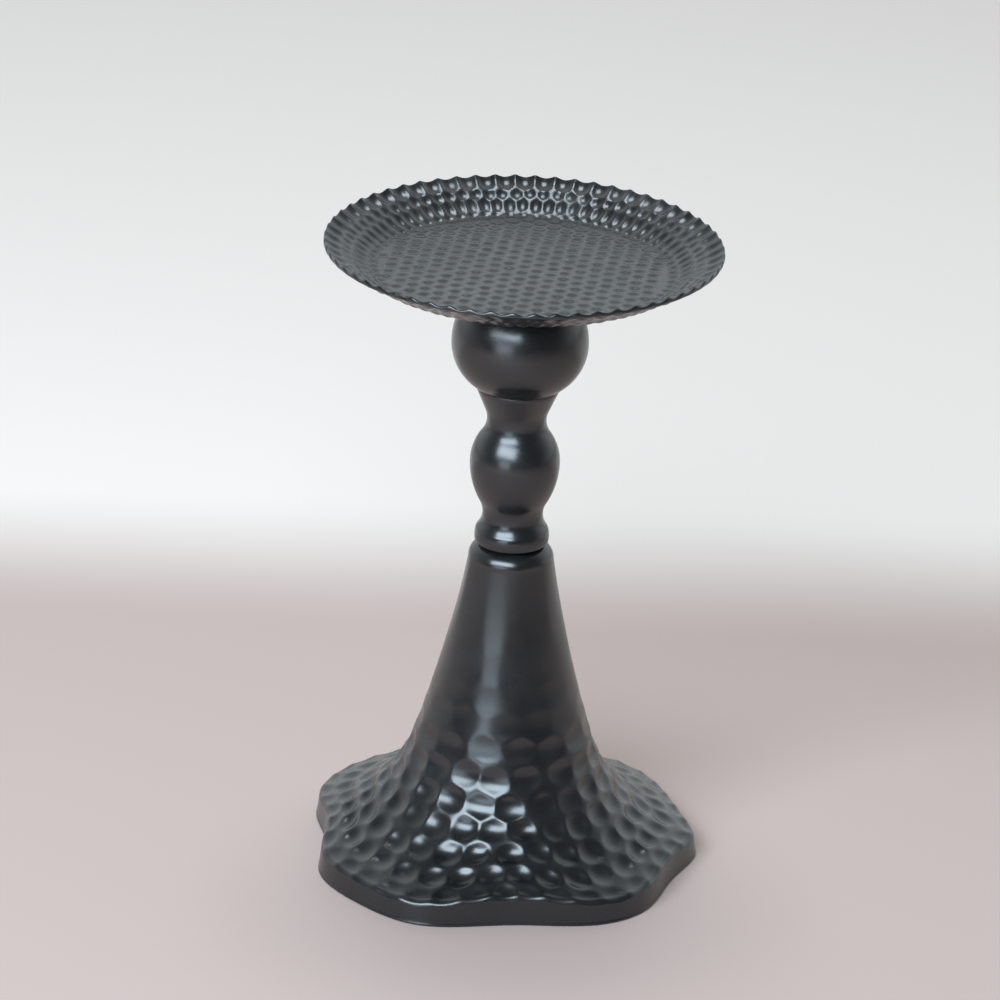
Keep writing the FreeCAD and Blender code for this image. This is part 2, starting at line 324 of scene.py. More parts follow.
def add_object(name: str, data: ID) -> Object:
    """Put data into the scene as an object at the origin.

    Args:
        name: Name of the object.
        data: Its mesh, light or camera.

    Returns:
        The new object.
    """
    item = bpy.data.objects.new(name, data)
    bpy.context.scene.collection.objects.link(item)
    return item


def finish_mesh(mesh: BMesh, name: str, sharp_angle: float) -> Object:
    """Close a mesh and turn it into an object.

    Args:
        mesh: Mesh to take; it is freed.
        name: Name of the piece.
        sharp_angle: Angle over which an edge stays crisp.

    Returns:
        The new object, at the origin.
    """
    bmesh.ops.remove_doubles(mesh, verts=mesh.verts, dist=MERGE_DISTANCE)
    bmesh.ops.recalc_face_normals(mesh, faces=mesh.faces)
    for face in mesh.faces:
        face.smooth = True
    data = bpy.data.meshes.new(name)
    mesh.to_mesh(data)
    mesh.free()
    data.set_sharp_from_angle(angle=sharp_angle)
    return add_object(name, data)


def soften_edges(piece: Object, width: float, sharp_angle: float) -> None:
    """Round the crisp edges of a piece with a bevel.

    Args:
        piece: Piece to round.
        width: Width of the rounding.
        sharp_angle: Angle over which an edge is crisp.
    """
    bevel = piece.modifiers.new("edge_rounding", "BEVEL")
    bevel.limit_method = "ANGLE"
    bevel.angle_limit = sharp_angle
    bevel.width = width
    bevel.segments = BEVEL_SEGMENTS
    bevel.harden_normals = True


# Hammered dimples


def clamp(share: float) -> float:
    """Hold a share between zero and one."""
    return min(1.0, max(0.0, share))


def near_one(chance: random.Random, jitter: float) -> float:
    """Draw a factor that differs from one by no more than the jitter."""
    return 1.0 + chance.uniform(-jitter, jitter)


@dataclass(frozen=True)
class Dimple:
    """One blow of the hammer.

    Attributes:
        centre: Middle of the dimple on the smooth surface.
        along: Unit direction of its length.
        half_length: Half of its length.
        half_width: Half of its width.
        depth: Depth in the middle.
    """

    centre: Vector
    along: Vector
    half_length: float
    half_width: float
    depth: float

    @classmethod
    def on_turned_face(
        cls, spot: Vector, along: Vector, turn: float, half_length: float, half_width: float, depth: float
    ) -> "Dimple":
        """Place a dimple on a turned face.

        Args:
            spot: Radius and height of its middle.
            along: Direction of its length, in radius and height.
            turn: Turn about the upright axis.
            half_length: Half of its length.
            half_width: Half of its width.
            depth: Depth in the middle.

        Returns:
            The dimple.
        """
        cosine, sine = math.cos(turn), math.sin(turn)
        return cls(
            Vector((spot.x * cosine, spot.x * sine, spot.y)),
            Vector((along.x * cosine, along.x * sine, along.y)),
            half_length,
            half_width,
            depth,
        )

    def depth_at(self, point: Vector) -> float:
        """Read the depth of the round bowl at a point.

        Args:
            point: Place on the smooth surface.

        Returns:
            Depth, below zero outside the bowl.
        """
        way = point - self.centre
        length = way.dot(self.along)
        width_square = max(0.0, way.length_squared - length * length)
        fall = (length / self.half_length) ** 2 + width_square / self.half_width**2
        return self.depth * (1.0 - fall)


class HammerPattern:
    """Field of dimples, with rounded ridges between them, that can be read at any point.

    Attributes:
        NEAREST: Dimples that are read at a point.
    """

    NEAREST = 7

    def __init__(self, dimples: list[Dimple], softness: float) -> None:
        """Sort the dimples for reading.

        Args:
            dimples: Blows of the pattern.
            softness: How much the ridges are rounded, in the unit of the dimples' depth.
        """
        self.dimples = dimples
        self.softness = softness
        self.tree = KDTree(len(dimples))
        for index, dimple in enumerate(dimples):
            self.tree.insert(dimple.centre, index)
        self.tree.balance()

    def depth_at(self, point: Vector) -> float:
        """Read how deep the surface is hammered at a point.

        Args:
            point: Place on the smooth surface.

        Returns:
            Depth, in the unit of the dimples' depth.
        """
        near = self.tree.find_n(point, self.NEAREST)
        depths = [0.0] + [self.dimples[index].depth_at(point) for _, index, _ in near]
        deepest = max(depths)
        return deepest + self.softness * math.log(
            sum(math.exp((depth - deepest) / self.softness) for depth in depths)
        )


# Shared effects as shader node groups


class NodeSheet:
    """Places and links the nodes of one node tree.

    Attributes:
        INPUT: What the names of settings for input sockets begin with.
        MIX_COLOURS: Places of a mix node's colour inputs, which share their names with others.
        MIX_RESULT: Place of its colour output.
    """

    INPUT = "in_"
    MIX_COLOURS = (6, 7)
    MIX_RESULT = 2

    def __init__(self, tree: NodeTree) -> None:
        """Take a node tree to work on."""
        self.tree = tree

    def feed(self, target: NodeSocket, value: object) -> None:
        """Give an input socket a link or a constant.

        Args:
            target: Input socket.
            value: Socket to link to it, or its constant.
        """
        if isinstance(value, NodeSocket):
            self.tree.links.new(value, target)
        else:
            target.default_value = value

    def set(self, node: Node, **settings: object) -> Node:
        """Set properties and input sockets of a node.

        Args:
            node: Node to set.
            **settings: Properties of the node; those that begin with in_ are input sockets.

        Returns:
            The node itself.
        """
        for key, value in settings.items():
            if key.startswith(self.INPUT):
                self.feed(node.inputs[key.removeprefix(self.INPUT).replace("_", " ")], value)
            else:
                setattr(node, key, value)
        return node

    def add(self, kind: str, **settings: object) -> Node:
        """Place a node of a type, with settings as for set."""
        return self.set(self.tree.nodes.new(kind), **settings)

    def effect(self, group: NodeTree, **inputs: object) -> NodeSocket:
        """Place a shared effect, with inputs as for set, and give its value's socket."""
        return self.add("ShaderNodeGroup", node_tree=group, **inputs).outputs["Value"]

    def coords(self, kind: str = "Object") -> NodeSocket:
        """Place coordinates of a kind and give their socket."""
        return self.add("ShaderNodeTexCoord").outputs[kind]

    def parts(self, vector: NodeSocket) -> Node:
        """Place the node that takes a vector apart."""
        return self.add("ShaderNodeSeparateXYZ", in_Vector=vector)

    def math(self, operation: str, first: object, second: object) -> NodeSocket:
        """Place a math node.

        Args:
            operation: Name of the operation.
            first: Socket or number of the first input.
            second: Socket or number of the second input.

        Returns:
            The result's socket.
        """
        node = self.add("ShaderNodeMath", operation=operation)
        self.feed(node.inputs[0], first)
        self.feed(node.inputs[1], second)
        return node.outputs["Value"]

    def between(self, share: object, low: float, high: float) -> NodeSocket:
        """Turn a share into the number that lies so far from the low to the high one."""
        return self.math("ADD", self.math("MULTIPLY", share, high - low), low)

    def noise(self, scale: object, detail: float, roughness: float = 0.5) -> NodeSocket:
        """Place a noise texture on object coordinates.

        Args:
            scale: Socket or number for the noise's scale, per metre.
            detail: Octaves of the noise.
            roughness: Share of the finer octaves.

        Returns:
            The noise's value socket.
        """
        return self.add(
            "ShaderNodeTexNoise",
            in_Vector=self.coords(),
            in_Scale=scale,
            in_Detail=detail,
            in_Roughness=roughness,
        ).outputs["Fac"]

    def spread(self, value: object, low: object, high: object) -> NodeSocket:
        """Map a range smoothly to zero to one.

        Args:
            value: Socket to map.
            low: Socket or number that becomes zero.
            high: Socket or number that becomes one.

        Returns:
            The mapped socket.
        """
        return self.add(
            "ShaderNodeMapRange",
            interpolation_type="SMOOTHSTEP",
            in_Value=value,
            in_From_Min=low,
            in_From_Max=high,
        ).outputs["Result"]

    def blend(self, factor: NodeSocket, first: object, second: object) -> NodeSocket:
        """Mix two colours.

        Args:
            factor: Share of the second colour.
            first: Socket or colour.
            second: Socket or colour.

        Returns:
            The mixed colour's socket.
        """
        node = self.add("ShaderNodeMix", data_type="RGBA", in_Factor=factor)
        for index, colour in zip(self.MIX_COLOURS, (first, second)):
            linked = isinstance(colour, NodeSocket)
            self.feed(node.inputs[index], colour if linked else (*colour, 1.0))
        return node.outputs[self.MIX_RESULT]

    def bump(self, height: NodeSocket, distance: float) -> NodeSocket:
        """Turn a height from zero to one into a normal, where one is a distance in metres."""
        node = self.add("ShaderNodeBump", in_Strength=1.0, in_Distance=distance, in_Height=height)
        return node.outputs["Normal"]


class EffectGroups:
    """Shader node groups that several finishes share.

    Attributes:
        SCRATCH_STRETCH: Scale of the scratches along the axes, which lays them around the upright one.
    """

    SCRATCH_STRETCH = (0.05, 0.05, 1.0)

    def __init__(self) -> None:
        """Build every group once."""
        self.mottle = self._make("Mottle", ("Scale",), self._mottle)
        self.peel = self._make("Orange peel", ("Scale",), self._peel)
        self.rub = self._make("Edge rub", ("From", "To"), self._rub)
        self.dust = self._make("Dust", ("Veil", "Specks"), self._dust)
        self.scratch = self._make("Fine scratches", ("Scale",), self._scratch)

    @staticmethod
    def _make(
        name: str,
        inputs: tuple[str, ...],
        build: Callable[[NodeSheet, Node], NodeSocket],
    ) -> NodeTree:
        """Make one group with number inputs and one number output.

        Args:
            name: Name of the group.
            inputs: Names of its inputs.
            build: Function that places the inner nodes and gives the result.

        Returns:
            The group's node tree.
        """
        tree = bpy.data.node_groups.new(name, "ShaderNodeTree")
        for label in inputs:
            tree.interface.new_socket(label, in_out="INPUT", socket_type="NodeSocketFloat")
        tree.interface.new_socket("Value", in_out="OUTPUT", socket_type="NodeSocketFloat")
        sheet = NodeSheet(tree)
        entry = sheet.add("NodeGroupInput")
        sheet.add("NodeGroupOutput", in_Value=build(sheet, entry))
        return tree

    @staticmethod
    def _mottle(sheet: NodeSheet, entry: Node) -> NodeSocket:
        """Slow patches over the surface, from zero to one."""
        return sheet.spread(sheet.noise(entry.outputs["Scale"], detail=3.0), low=0.3, high=0.7)

    @staticmethod
    def _peel(sheet: NodeSheet, entry: Node) -> NodeSocket:
        """Low soft waves that sprayed paint dries with."""
        return sheet.noise(entry.outputs["Scale"], detail=2.0, roughness=0.4)

    @staticmethod
    def _rub(sheet: NodeSheet, entry: Node) -> NodeSocket:
        """Find ridges and edges that hands have rubbed, broken up by noise.

        Args:
            sheet: Sheet of the group.
            entry: Node of the group's inputs.

        Returns:
            The mask's socket.
        """
        crest = sheet.add("ShaderNodeNewGeometry").outputs["Pointiness"]
        crest = sheet.spread(crest, entry.outputs["From"], entry.outputs["To"])
        patches = sheet.noise(scale=140.0, detail=4.0, roughness=0.6)
        return sheet.math("MULTIPLY", crest, sheet.spread(patches, low=0.35, high=0.65))

    @staticmethod
    def _dust(sheet: NodeSheet, entry: Node) -> NodeSocket:
        """Lay a thin veil on faces that look up, with a few bright specks.

        Args:
            sheet: Sheet of the group.
            entry: Node of the group's inputs.

        Returns:
            The mask's socket.
        """
        normal = sheet.add("ShaderNodeNewGeometry").outputs["Normal"]
        upward = sheet.spread(sheet.parts(normal).outputs["Z"], low=0.0, high=1.0)
        patches = sheet.noise(scale=90.0, detail=5.0, roughness=0.65)
        veil = sheet.math("MULTIPLY", upward, sheet.spread(patches, low=0.3, high=0.75))
        cells = sheet.add("ShaderNodeTexVoronoi", in_Vector=sheet.coords(), in_Scale=85.0)
        dots = sheet.spread(cells.outputs["Distance"], low=0.045, high=0.02)
        chosen = sheet.spread(sheet.noise(scale=60.0, detail=1.0), low=0.58, high=0.62)
        specks = sheet.math("MULTIPLY", dots, chosen)
        return sheet.math(
            "MAXIMUM",
            sheet.math("MULTIPLY", veil, entry.outputs["Veil"]),
            sheet.math("MULTIPLY", specks, entry.outputs["Specks"]),
        )

    @staticmethod
    def _scratch(sheet: NodeSheet, entry: Node) -> NodeSocket:
        """Draw fine turned lines around the upright axis.

        Args:
            sheet: Sheet of the group.
            entry: Node of the group's inputs.

        Returns:
            The lines' value socket.
        """
        stretch = sheet.add(
            "ShaderNodeMapping", in_Vector=sheet.coords(), in_Scale=EffectGroups.SCRATCH_STRETCH
        )
        return sheet.add(
            "ShaderNodeTexNoise",
            in_Vector=stretch.outputs["Vector"],
            in_Scale=entry.outputs["Scale"],
            in_Detail=6.0,
        ).outputs["Fac"]


def new_material(name: str) -> tuple[Material, NodeSheet, Node]:
    """Make a material.

    Args:
        name: Name of the material.

    Returns:
        The material, the sheet of its nodes and its main shader.
    """
    material = bpy.data.materials.new(name)
    material.use_nodes = True
    return material, NodeSheet(material.node_tree), material.node_tree.nodes["Principled BSDF"]


@dataclass(frozen=True)
class Paint:
    """Satin black paint.

    Attributes:
        name: Name of the material.
        colour: Colour of the paint.
        shade: Share of the colour that its darkest patches have.
        patch_scale: Scale of these patches, per metre.
        rubbed: Colour of the rubbed ridges.
        rub_span: Pointiness at which the rubbing begins and is full.
        dust_colour: Colour of the dust.
        dust_roughness: Roughness that full dust adds.
        veil: Strength of the dust.
        specks: Strength of the bright specks.
        roughness: Lowest and highest roughness.
        peel_scale: Waves of the paint per metre.
        peel_height: Height of the waves.
        gloss: Specular level of the lacquer.
    """

    name: str
    colour: Colour = (0.006, 0.0068, 0.008)
    shade: float = 0.8
    patch_scale: float = 70.0
    rubbed: Colour = (0.04, 0.041, 0.043)
    rub_span: tuple[float, float] = (0.52, 0.6)
    dust_colour: Colour = (0.42, 0.42, 0.41)
    dust_roughness: float = 0.4
    veil: float = 0.03
    specks: float = 0.0
    roughness: tuple[float, float] = (0.22, 0.29)
    peel_scale: float = 900.0
    peel_height: float = 0.004 * MM
    gloss: float = 0.82

    def build(self, groups: EffectGroups) -> Material:
        """Make the material.

        Args:
            groups: Shared effects.

        Returns:
            The finished material.
        """
        material, sheet, shader = new_material(self.name)
        patches = sheet.effect(groups.mottle, in_Scale=self.patch_scale)
        rub = sheet.effect(groups.rub, in_From=self.rub_span[0], in_To=self.rub_span[1])
        dust = sheet.effect(groups.dust, in_Veil=self.veil, in_Specks=self.specks)
        peel = sheet.effect(groups.peel, in_Scale=self.peel_scale)
        deep = tuple(self.shade * part for part in self.colour)
        coat = sheet.blend(patches, deep, self.colour)
        worn = sheet.blend(rub, coat, self.rubbed)
        dull = sheet.math("MULTIPLY", dust, self.dust_roughness)
        sheet.set(
            shader,
            in_Base_Color=sheet.blend(dust, worn, self.dust_colour),
            in_Roughness=sheet.math("ADD", sheet.between(patches, *self.roughness), dull),
            in_Specular_IOR_Level=self.gloss,
            in_Normal=sheet.bump(peel, self.peel_height),
        )
        return material


@dataclass(frozen=True)
class Zinc:
    """Bright zinc plate.

    Attributes:
        name: Name of the material.
        colour: Colour of the plate.
        tarnish: Colour of its duller patches.
        patch_scale: Scale of these patches, per metre.
        roughness: Lowest and highest roughness.
        scratch_scale: Scale of the fine scratches, per metre.
        scratch_depth: Depth of the scratches.
    """

    name: str
    colour: Colour = (0.62, 0.63, 0.65)
    tarnish: Colour = (0.47, 0.46, 0.43)
    patch_scale: float = 350.0
    roughness: tuple[float, float] = (0.24, 0.42)
    scratch_scale: float = 9000.0
    scratch_depth: float = 0.015 * MM

    def build(self, groups: EffectGroups) -> Material:
        """Make the material.

        Args:
            groups: Shared effects.

        Returns:
            The finished material.
        """
        material, sheet, shader = new_material(self.name)
        patches = sheet.effect(groups.mottle, in_Scale=self.patch_scale)
        scratch = sheet.effect(groups.scratch, in_Scale=self.scratch_scale)
        sheet.set(
            shader,
            in_Metallic=1.0,
            in_Base_Color=sheet.blend(patches, self.tarnish, self.colour),
            in_Roughness=sheet.between(scratch, *self.roughness),
            in_Normal=sheet.bump(scratch, self.scratch_depth),
        )
        return material


def set_in_place(piece: Object, node: str, material: Material) -> None:
    """Put a new piece in the place of a CAD node.

    Args:
        piece: New piece.
        node: CAD node that it stands for.
        material: Finish of the piece.
    """
    piece.data.materials.clear()
    piece.data.materials.append(material)
    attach(piece, "root")
    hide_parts(node)
    log.info("%s: %d faces, stands for %s", piece.name, len(piece.data.polygons), node)


# Drip tray


@dataclass(frozen=True)
class DimpleRow:
    """Ring of dimples on the tray's wall.

    Attributes:
        SWAY: Share of the radius by which a full jitter moves a dimple.
        count: Dimples around the ring.
        radius: Distance of their middles from the axis.
        half_length: Half of a dimple's length towards the rim.
        half_width: Half of its width.
        depth: Depth in the middle.
        start_angle: Turn of the first dimple, in degrees.
        jitter: Share by which places and sizes vary.
    """

    SWAY: ClassVar[float] = 0.1
    count: int
    radius: float
    half_length: float
    half_width: float
    depth: float
    start_angle: float = 0.0
    jitter: float = 0.06

    def dimples(self, chance: random.Random) -> list[Dimple]:
        """Place the dimples of the ring in plan.

        Args:
            chance: Source of the unevenness.

        Returns:
            The dimples.
        """
        found: list[Dimple] = []
        for number in range(self.count):
            angle = math.radians(self.start_angle + 360.0 * number / self.count)
            angle += chance.uniform(-self.jitter, self.jitter) * math.tau / self.count
            radius = self.radius * near_one(chance, self.SWAY * self.jitter)
            outward = Vector((math.cos(angle), math.sin(angle), 0.0))
            grow = near_one(chance, self.jitter)
            length, width = self.half_length * grow, self.half_width * grow
            found.append(Dimple(outward * radius, outward, length, width, self.depth * grow))
        return found


@dataclass
class DripTray:
    """Pressed dish with a hammered floor and a rim of open scallops.

    Attributes:
        floor_radius: Where the floor would meet the wall without its round.
        depth: Height of the rim over the floor.
        sheet: Thickness of the sheet.
        corner: Radius of the round between floor and wall.
        rim_thickness: Height of the rolled rim.
        rim_rounding: Reach of the rim's swelling.
        rim_width: Width of the rim, whose lower edge isn't pressed.
        rim_rise: Height over the rim's lower edge at which it is pressed in full.
        throat: Distance of the wall's lower face from the rim's root.
        lattice: Distance between the dimples of the floor.
        lattice_reach: Radius up to which the floor's lattice goes.
        lattice_depth: Depth of the floor's dimples.
        lattice_turn: Turn of the floor's lattice, in degrees.
        lattice_stray: How far its dimples stray.
        lattice_half: Half of a dimple's width, as a share of their distance.
        lattice_jitter: Shares by which their widths and depths vary.
        ridge: How much the ridges between dimples are rounded.
        scallops: Ring of open scallops in the rim.
        scallop_ridge: How much the ridges between scallops are rounded.
        rows: Rings of dimples on the wall, from the rim down.
        seat: Radius of the smooth seat under the floor.
        fade: Way over which the bumps below grow to full height.
        bands: Radii where the mesh bands of the floor end and begin, from the middle out.
        under_bands: The same for the bands below.
        face_step: Distance between points on the floor and the wall.
        rim_step: Distance between points around the rim.
        under_steps: Distances between points on the bands below.
        segments: Segments of the coarse, the medium and the fine bands.
        seed: Seed of the hand-made unevenness.
    """

    floor_radius: float = 49.5 * MM
    depth: float = 9.5 * MM
    sheet: float = 1.2 * MM
    corner: float = 7.0 * MM
    rim_thickness: float = 2.4 * MM
    rim_rounding: float = 0.5 * MM
    rim_width: float = 1.25 * MM
    rim_rise: float = 1.92 * MM
    throat: float = 0.7 * MM
    lattice: float = 5.4 * MM
    lattice_reach: float = 46.6 * MM
    lattice_depth: float = 0.52 * MM
    lattice_turn: float = -7.0
    lattice_stray: float = 0.35 * MM
    lattice_half: float = 0.4
    lattice_jitter: tuple[float, float] = (0.04, 0.15)
    ridge: float = 0.05 * MM
    scallops: DimpleRow = DimpleRow(60, 62.7 * MM, 3.8 * MM, 3.3 * MM, 1.2 * MM, 0.5, 0.0)
    scallop_ridge: float = 0.17 * MM
    rows: tuple[DimpleRow, ...] = (
        DimpleRow(78, 57.5 * MM, 2.0 * MM, 1.95 * MM, 0.52 * MM, 1.0),
        DimpleRow(78, 53.2 * MM, 2.7 * MM, 1.85 * MM, 0.56 * MM, 3.3),
        DimpleRow(72, 48.9 * MM, 1.8 * MM, 1.85 * MM, 0.45 * MM, 0.7),
    )
    seat: float = 11.0 * MM
    fade: float = 3.0 * MM
    bands: tuple[float, float, float, float] = (15.0 * MM, 15.6 * MM, 30.0 * MM, 30.5 * MM)
    under_bands: tuple[float, float] = (29.2 * MM, 30.0 * MM)
    face_step: float = 0.58 * MM
    rim_step: float = 0.4 * MM
    under_steps: tuple[float, float] = (1.2 * MM, 0.95 * MM)
    segments: tuple[int, int, int] = (184, 360, 720)
    seed: int = 11

    def __post_init__(self) -> None:
        """Read the tray's own radius and heights from its CAD node."""
        low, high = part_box("drip_tray")
        self.radius = (high.x - low.x) / 2.0
        self.underside = low.z
        self.floor = low.z + self.sheet
        self.rim_top = self.floor + self.depth
        self.rim_bottom = self.rim_top - self.rim_thickness
        self.slope = math.atan2(self.depth, self.radius - self.floor_radius)

    def pattern(self) -> HammerPattern:
        """Lay out the dimples of floor and wall in plan.

        Returns:
            The pattern.
        """
        chance = random.Random(self.seed)
        dimples = [dimple for row in self.rows for dimple in row.dimples(chance)]
        turn = Matrix.Rotation(math.radians(self.lattice_turn), 3, UP)
        column_gap = self.lattice * math.sqrt(3.0) / 2.0
        reach = math.ceil(self.lattice_reach / column_gap)
        width_jitter, depth_jitter = self.lattice_jitter
        for column in range(-reach, reach + 1):
            for number in range(-reach, reach + 1):
                place = Vector((column * column_gap, (number + 0.5 * (column % 2)) * self.lattice, 0.0))
                place.x += chance.uniform(-self.lattice_stray, self.lattice_stray)
                place.y += chance.uniform(-self.lattice_stray, self.lattice_stray)
                half = self.lattice_half * self.lattice * near_one(chance, width_jitter)
                depth = self.lattice_depth * near_one(chance, depth_jitter)
                if place.length < self.lattice_reach:
                    dimples.append(Dimple(turn @ place, Vector((0.0, 1.0, 0.0)), half, half, depth))
        return HammerPattern(dimples, self.ridge)

    def face_profile(
        self, profile: Profile, height: float, floor_radius: float, corner: float, top: Spot
    ) -> Profile:
        """Draw the rest of the floor, the round and the wall of one face of the sheet.

        Args:
            profile: Profile that has begun on the floor.
            height: Height of the floor.
            floor_radius: Where floor and wall would meet.
            corner: Radius of the round between them.
            top: End of the wall.

        Returns:
            The profile, up to the end of the wall.
        """
        tangent = corner * math.tan(self.slope / 2.0)
        start = Spot(floor_radius - tangent, height)
        half = self.slope / 2.0
        middle = Spot(
            start.radius + corner * math.sin(half), height + corner * (1.0 - math.cos(half))
        )
        end = Spot(
            floor_radius + tangent * math.cos(self.slope), height + tangent * math.sin(self.slope)
        )
        return profile.line(start).arc(middle, end).line(top)

    def build(self) -> Object:
        """Model the tray.

        Returns:
            The finished piece.
        """
        wall_rise = math.tan(self.slope)
        lip_start = self.radius - self.rim_rounding
        lip_in = Spot(lip_start, self.rim_top - self.rim_rounding * wall_rise)
        lip_out = Spot(self.radius, self.rim_top - self.rim_thickness / 2.0)
        lip_low = Spot(lip_start, self.rim_bottom)
        drop = self.sheet / math.cos(self.slope)
        root = Spot(self.radius - (self.rim_thickness - drop) / wall_rise, self.rim_bottom)
        throat = Spot(root.radius - self.throat, root.height - self.throat * wall_rise)
        middle_end, ring_start, ring_end, wall_start = self.bands
        middle = Profile(self.face_step).start(Spot(0.0, self.floor))
        middle.line(Spot(middle_end, self.floor))
        ring = Profile(self.face_step).start(Spot(ring_start, self.floor))
        ring.line(Spot(ring_end, self.floor))
        outer = Profile(self.face_step).start(Spot(wall_start, self.floor))
        self.face_profile(outer, self.floor, self.floor_radius, self.corner, lip_in)
        outer.step = self.rim_step
        outer.arc(lip_out, lip_low).line(root)
        under_end, below_start = self.under_bands
        under_step, below_step = self.under_steps
        under = Profile(under_step).start(Spot(0.0, self.underside))
        under.line(Spot(under_end, self.underside))
        below = Profile(below_step).start(Spot(below_start, self.underside))
        lower_radius = self.floor_radius + self.sheet * math.tan(self.slope / 2.0)
        self.face_profile(below, self.underside, lower_radius, self.corner + self.sheet, throat)
        coarse, medium, fine = self.segments
        bands = [(middle, coarse), (ring, medium), (outer, fine), (below, medium), (under, coarse)]
        mesh = bmesh.new()
        spin_bands(mesh, bands)
        join_bands(mesh, middle.end(), ring.first())
        join_bands(mesh, ring.end(), outer.first())
        join_bands(mesh, outer.end(), below.end())
        join_bands(mesh, below.first(), under.end())
        self.hammer(mesh)
        return finish_mesh(mesh, "drip_tray_hammered", SHEET_SHARP_ANGLE)

    def hammer(self, mesh: BMesh) -> None:
        """Press the dimples into the sheet, so that they stand out below as bumps.

        Args:
            mesh: Smooth tray.
        """
        pattern = self.pattern()
        scallops = HammerPattern(self.scallops.dimples(random.Random(self.seed)), self.scallop_ridge)
        rim_start = self.radius - self.rim_width
        wall_rise = math.tan(self.slope)
        for vert in mesh.verts:
            plan = Vector((vert.co.x, vert.co.y, 0.0))
            radius = plan.length
            upper = self.floor + max(0.0, radius - self.floor_radius) * wall_rise
            share = 1.0
            if vert.co.z < upper - self.sheet / 2.0:
                share = clamp(min(radius - self.seat, rim_start - radius) / self.fade)
            if radius > rim_start:
                share = clamp((vert.co.z - self.rim_bottom) / self.rim_rise)
            if share > 0.0:
                vert.co.z -= share * (pattern.depth_at(plan) + scallops.depth_at(plan))


# Bell base


class FootOutline:
    """Wavy outline of the foot, read from its CAD node.

    Attributes:
        SECTORS: Number of directions in which it is read.
        HEIGHT: Height over the floor at which it is read.
        WINDOW: Neighbours on each side that a radius is evened out with.
    """

    SECTORS = 360
    HEIGHT = 0.1 * MM
    WINDOW = 2

    def __init__(self, node: str) -> None:
        """Read the outline with rays that go in to the axis just over the floor.

        Args:
            node: CAD node of the bell.
        """
        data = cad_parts[node].data
        corners = [vert.co for vert in data.vertices]
        tree = BVHTree.FromPolygons(corners, [face.vertices for face in data.polygons])
        reach = []
        for sector in range(self.SECTORS):
            turn = math.tau * sector / self.SECTORS
            outward = Vector((math.cos(turn), math.sin(turn), 0.0))
            hit = tree.ray_cast(outward + self.HEIGHT * UP, -outward)[0]
            reach.append(math.hypot(hit.x, hit.y))
        window = range(-self.WINDOW, self.WINDOW + 1)
        self.radii = [
            sum(reach[(sector + shift) % self.SECTORS] for shift in window) / len(window)
            for sector in range(self.SECTORS)
        ]
        self.mean = sum(self.radii) / self.SECTORS

    def radius(self, angle: float) -> float:
        """Read the outline at a turn.

        Args:
            angle: Turn about the upright axis.

        Returns:
            Radius there.
        """
        place = (angle % math.tau) / math.tau * self.SECTORS
        index = int(place)
        low = self.radii[index % self.SECTORS]
        high = self.radii[(index + 1) % self.SECTORS]
        return low + (place - index) * (high - low)


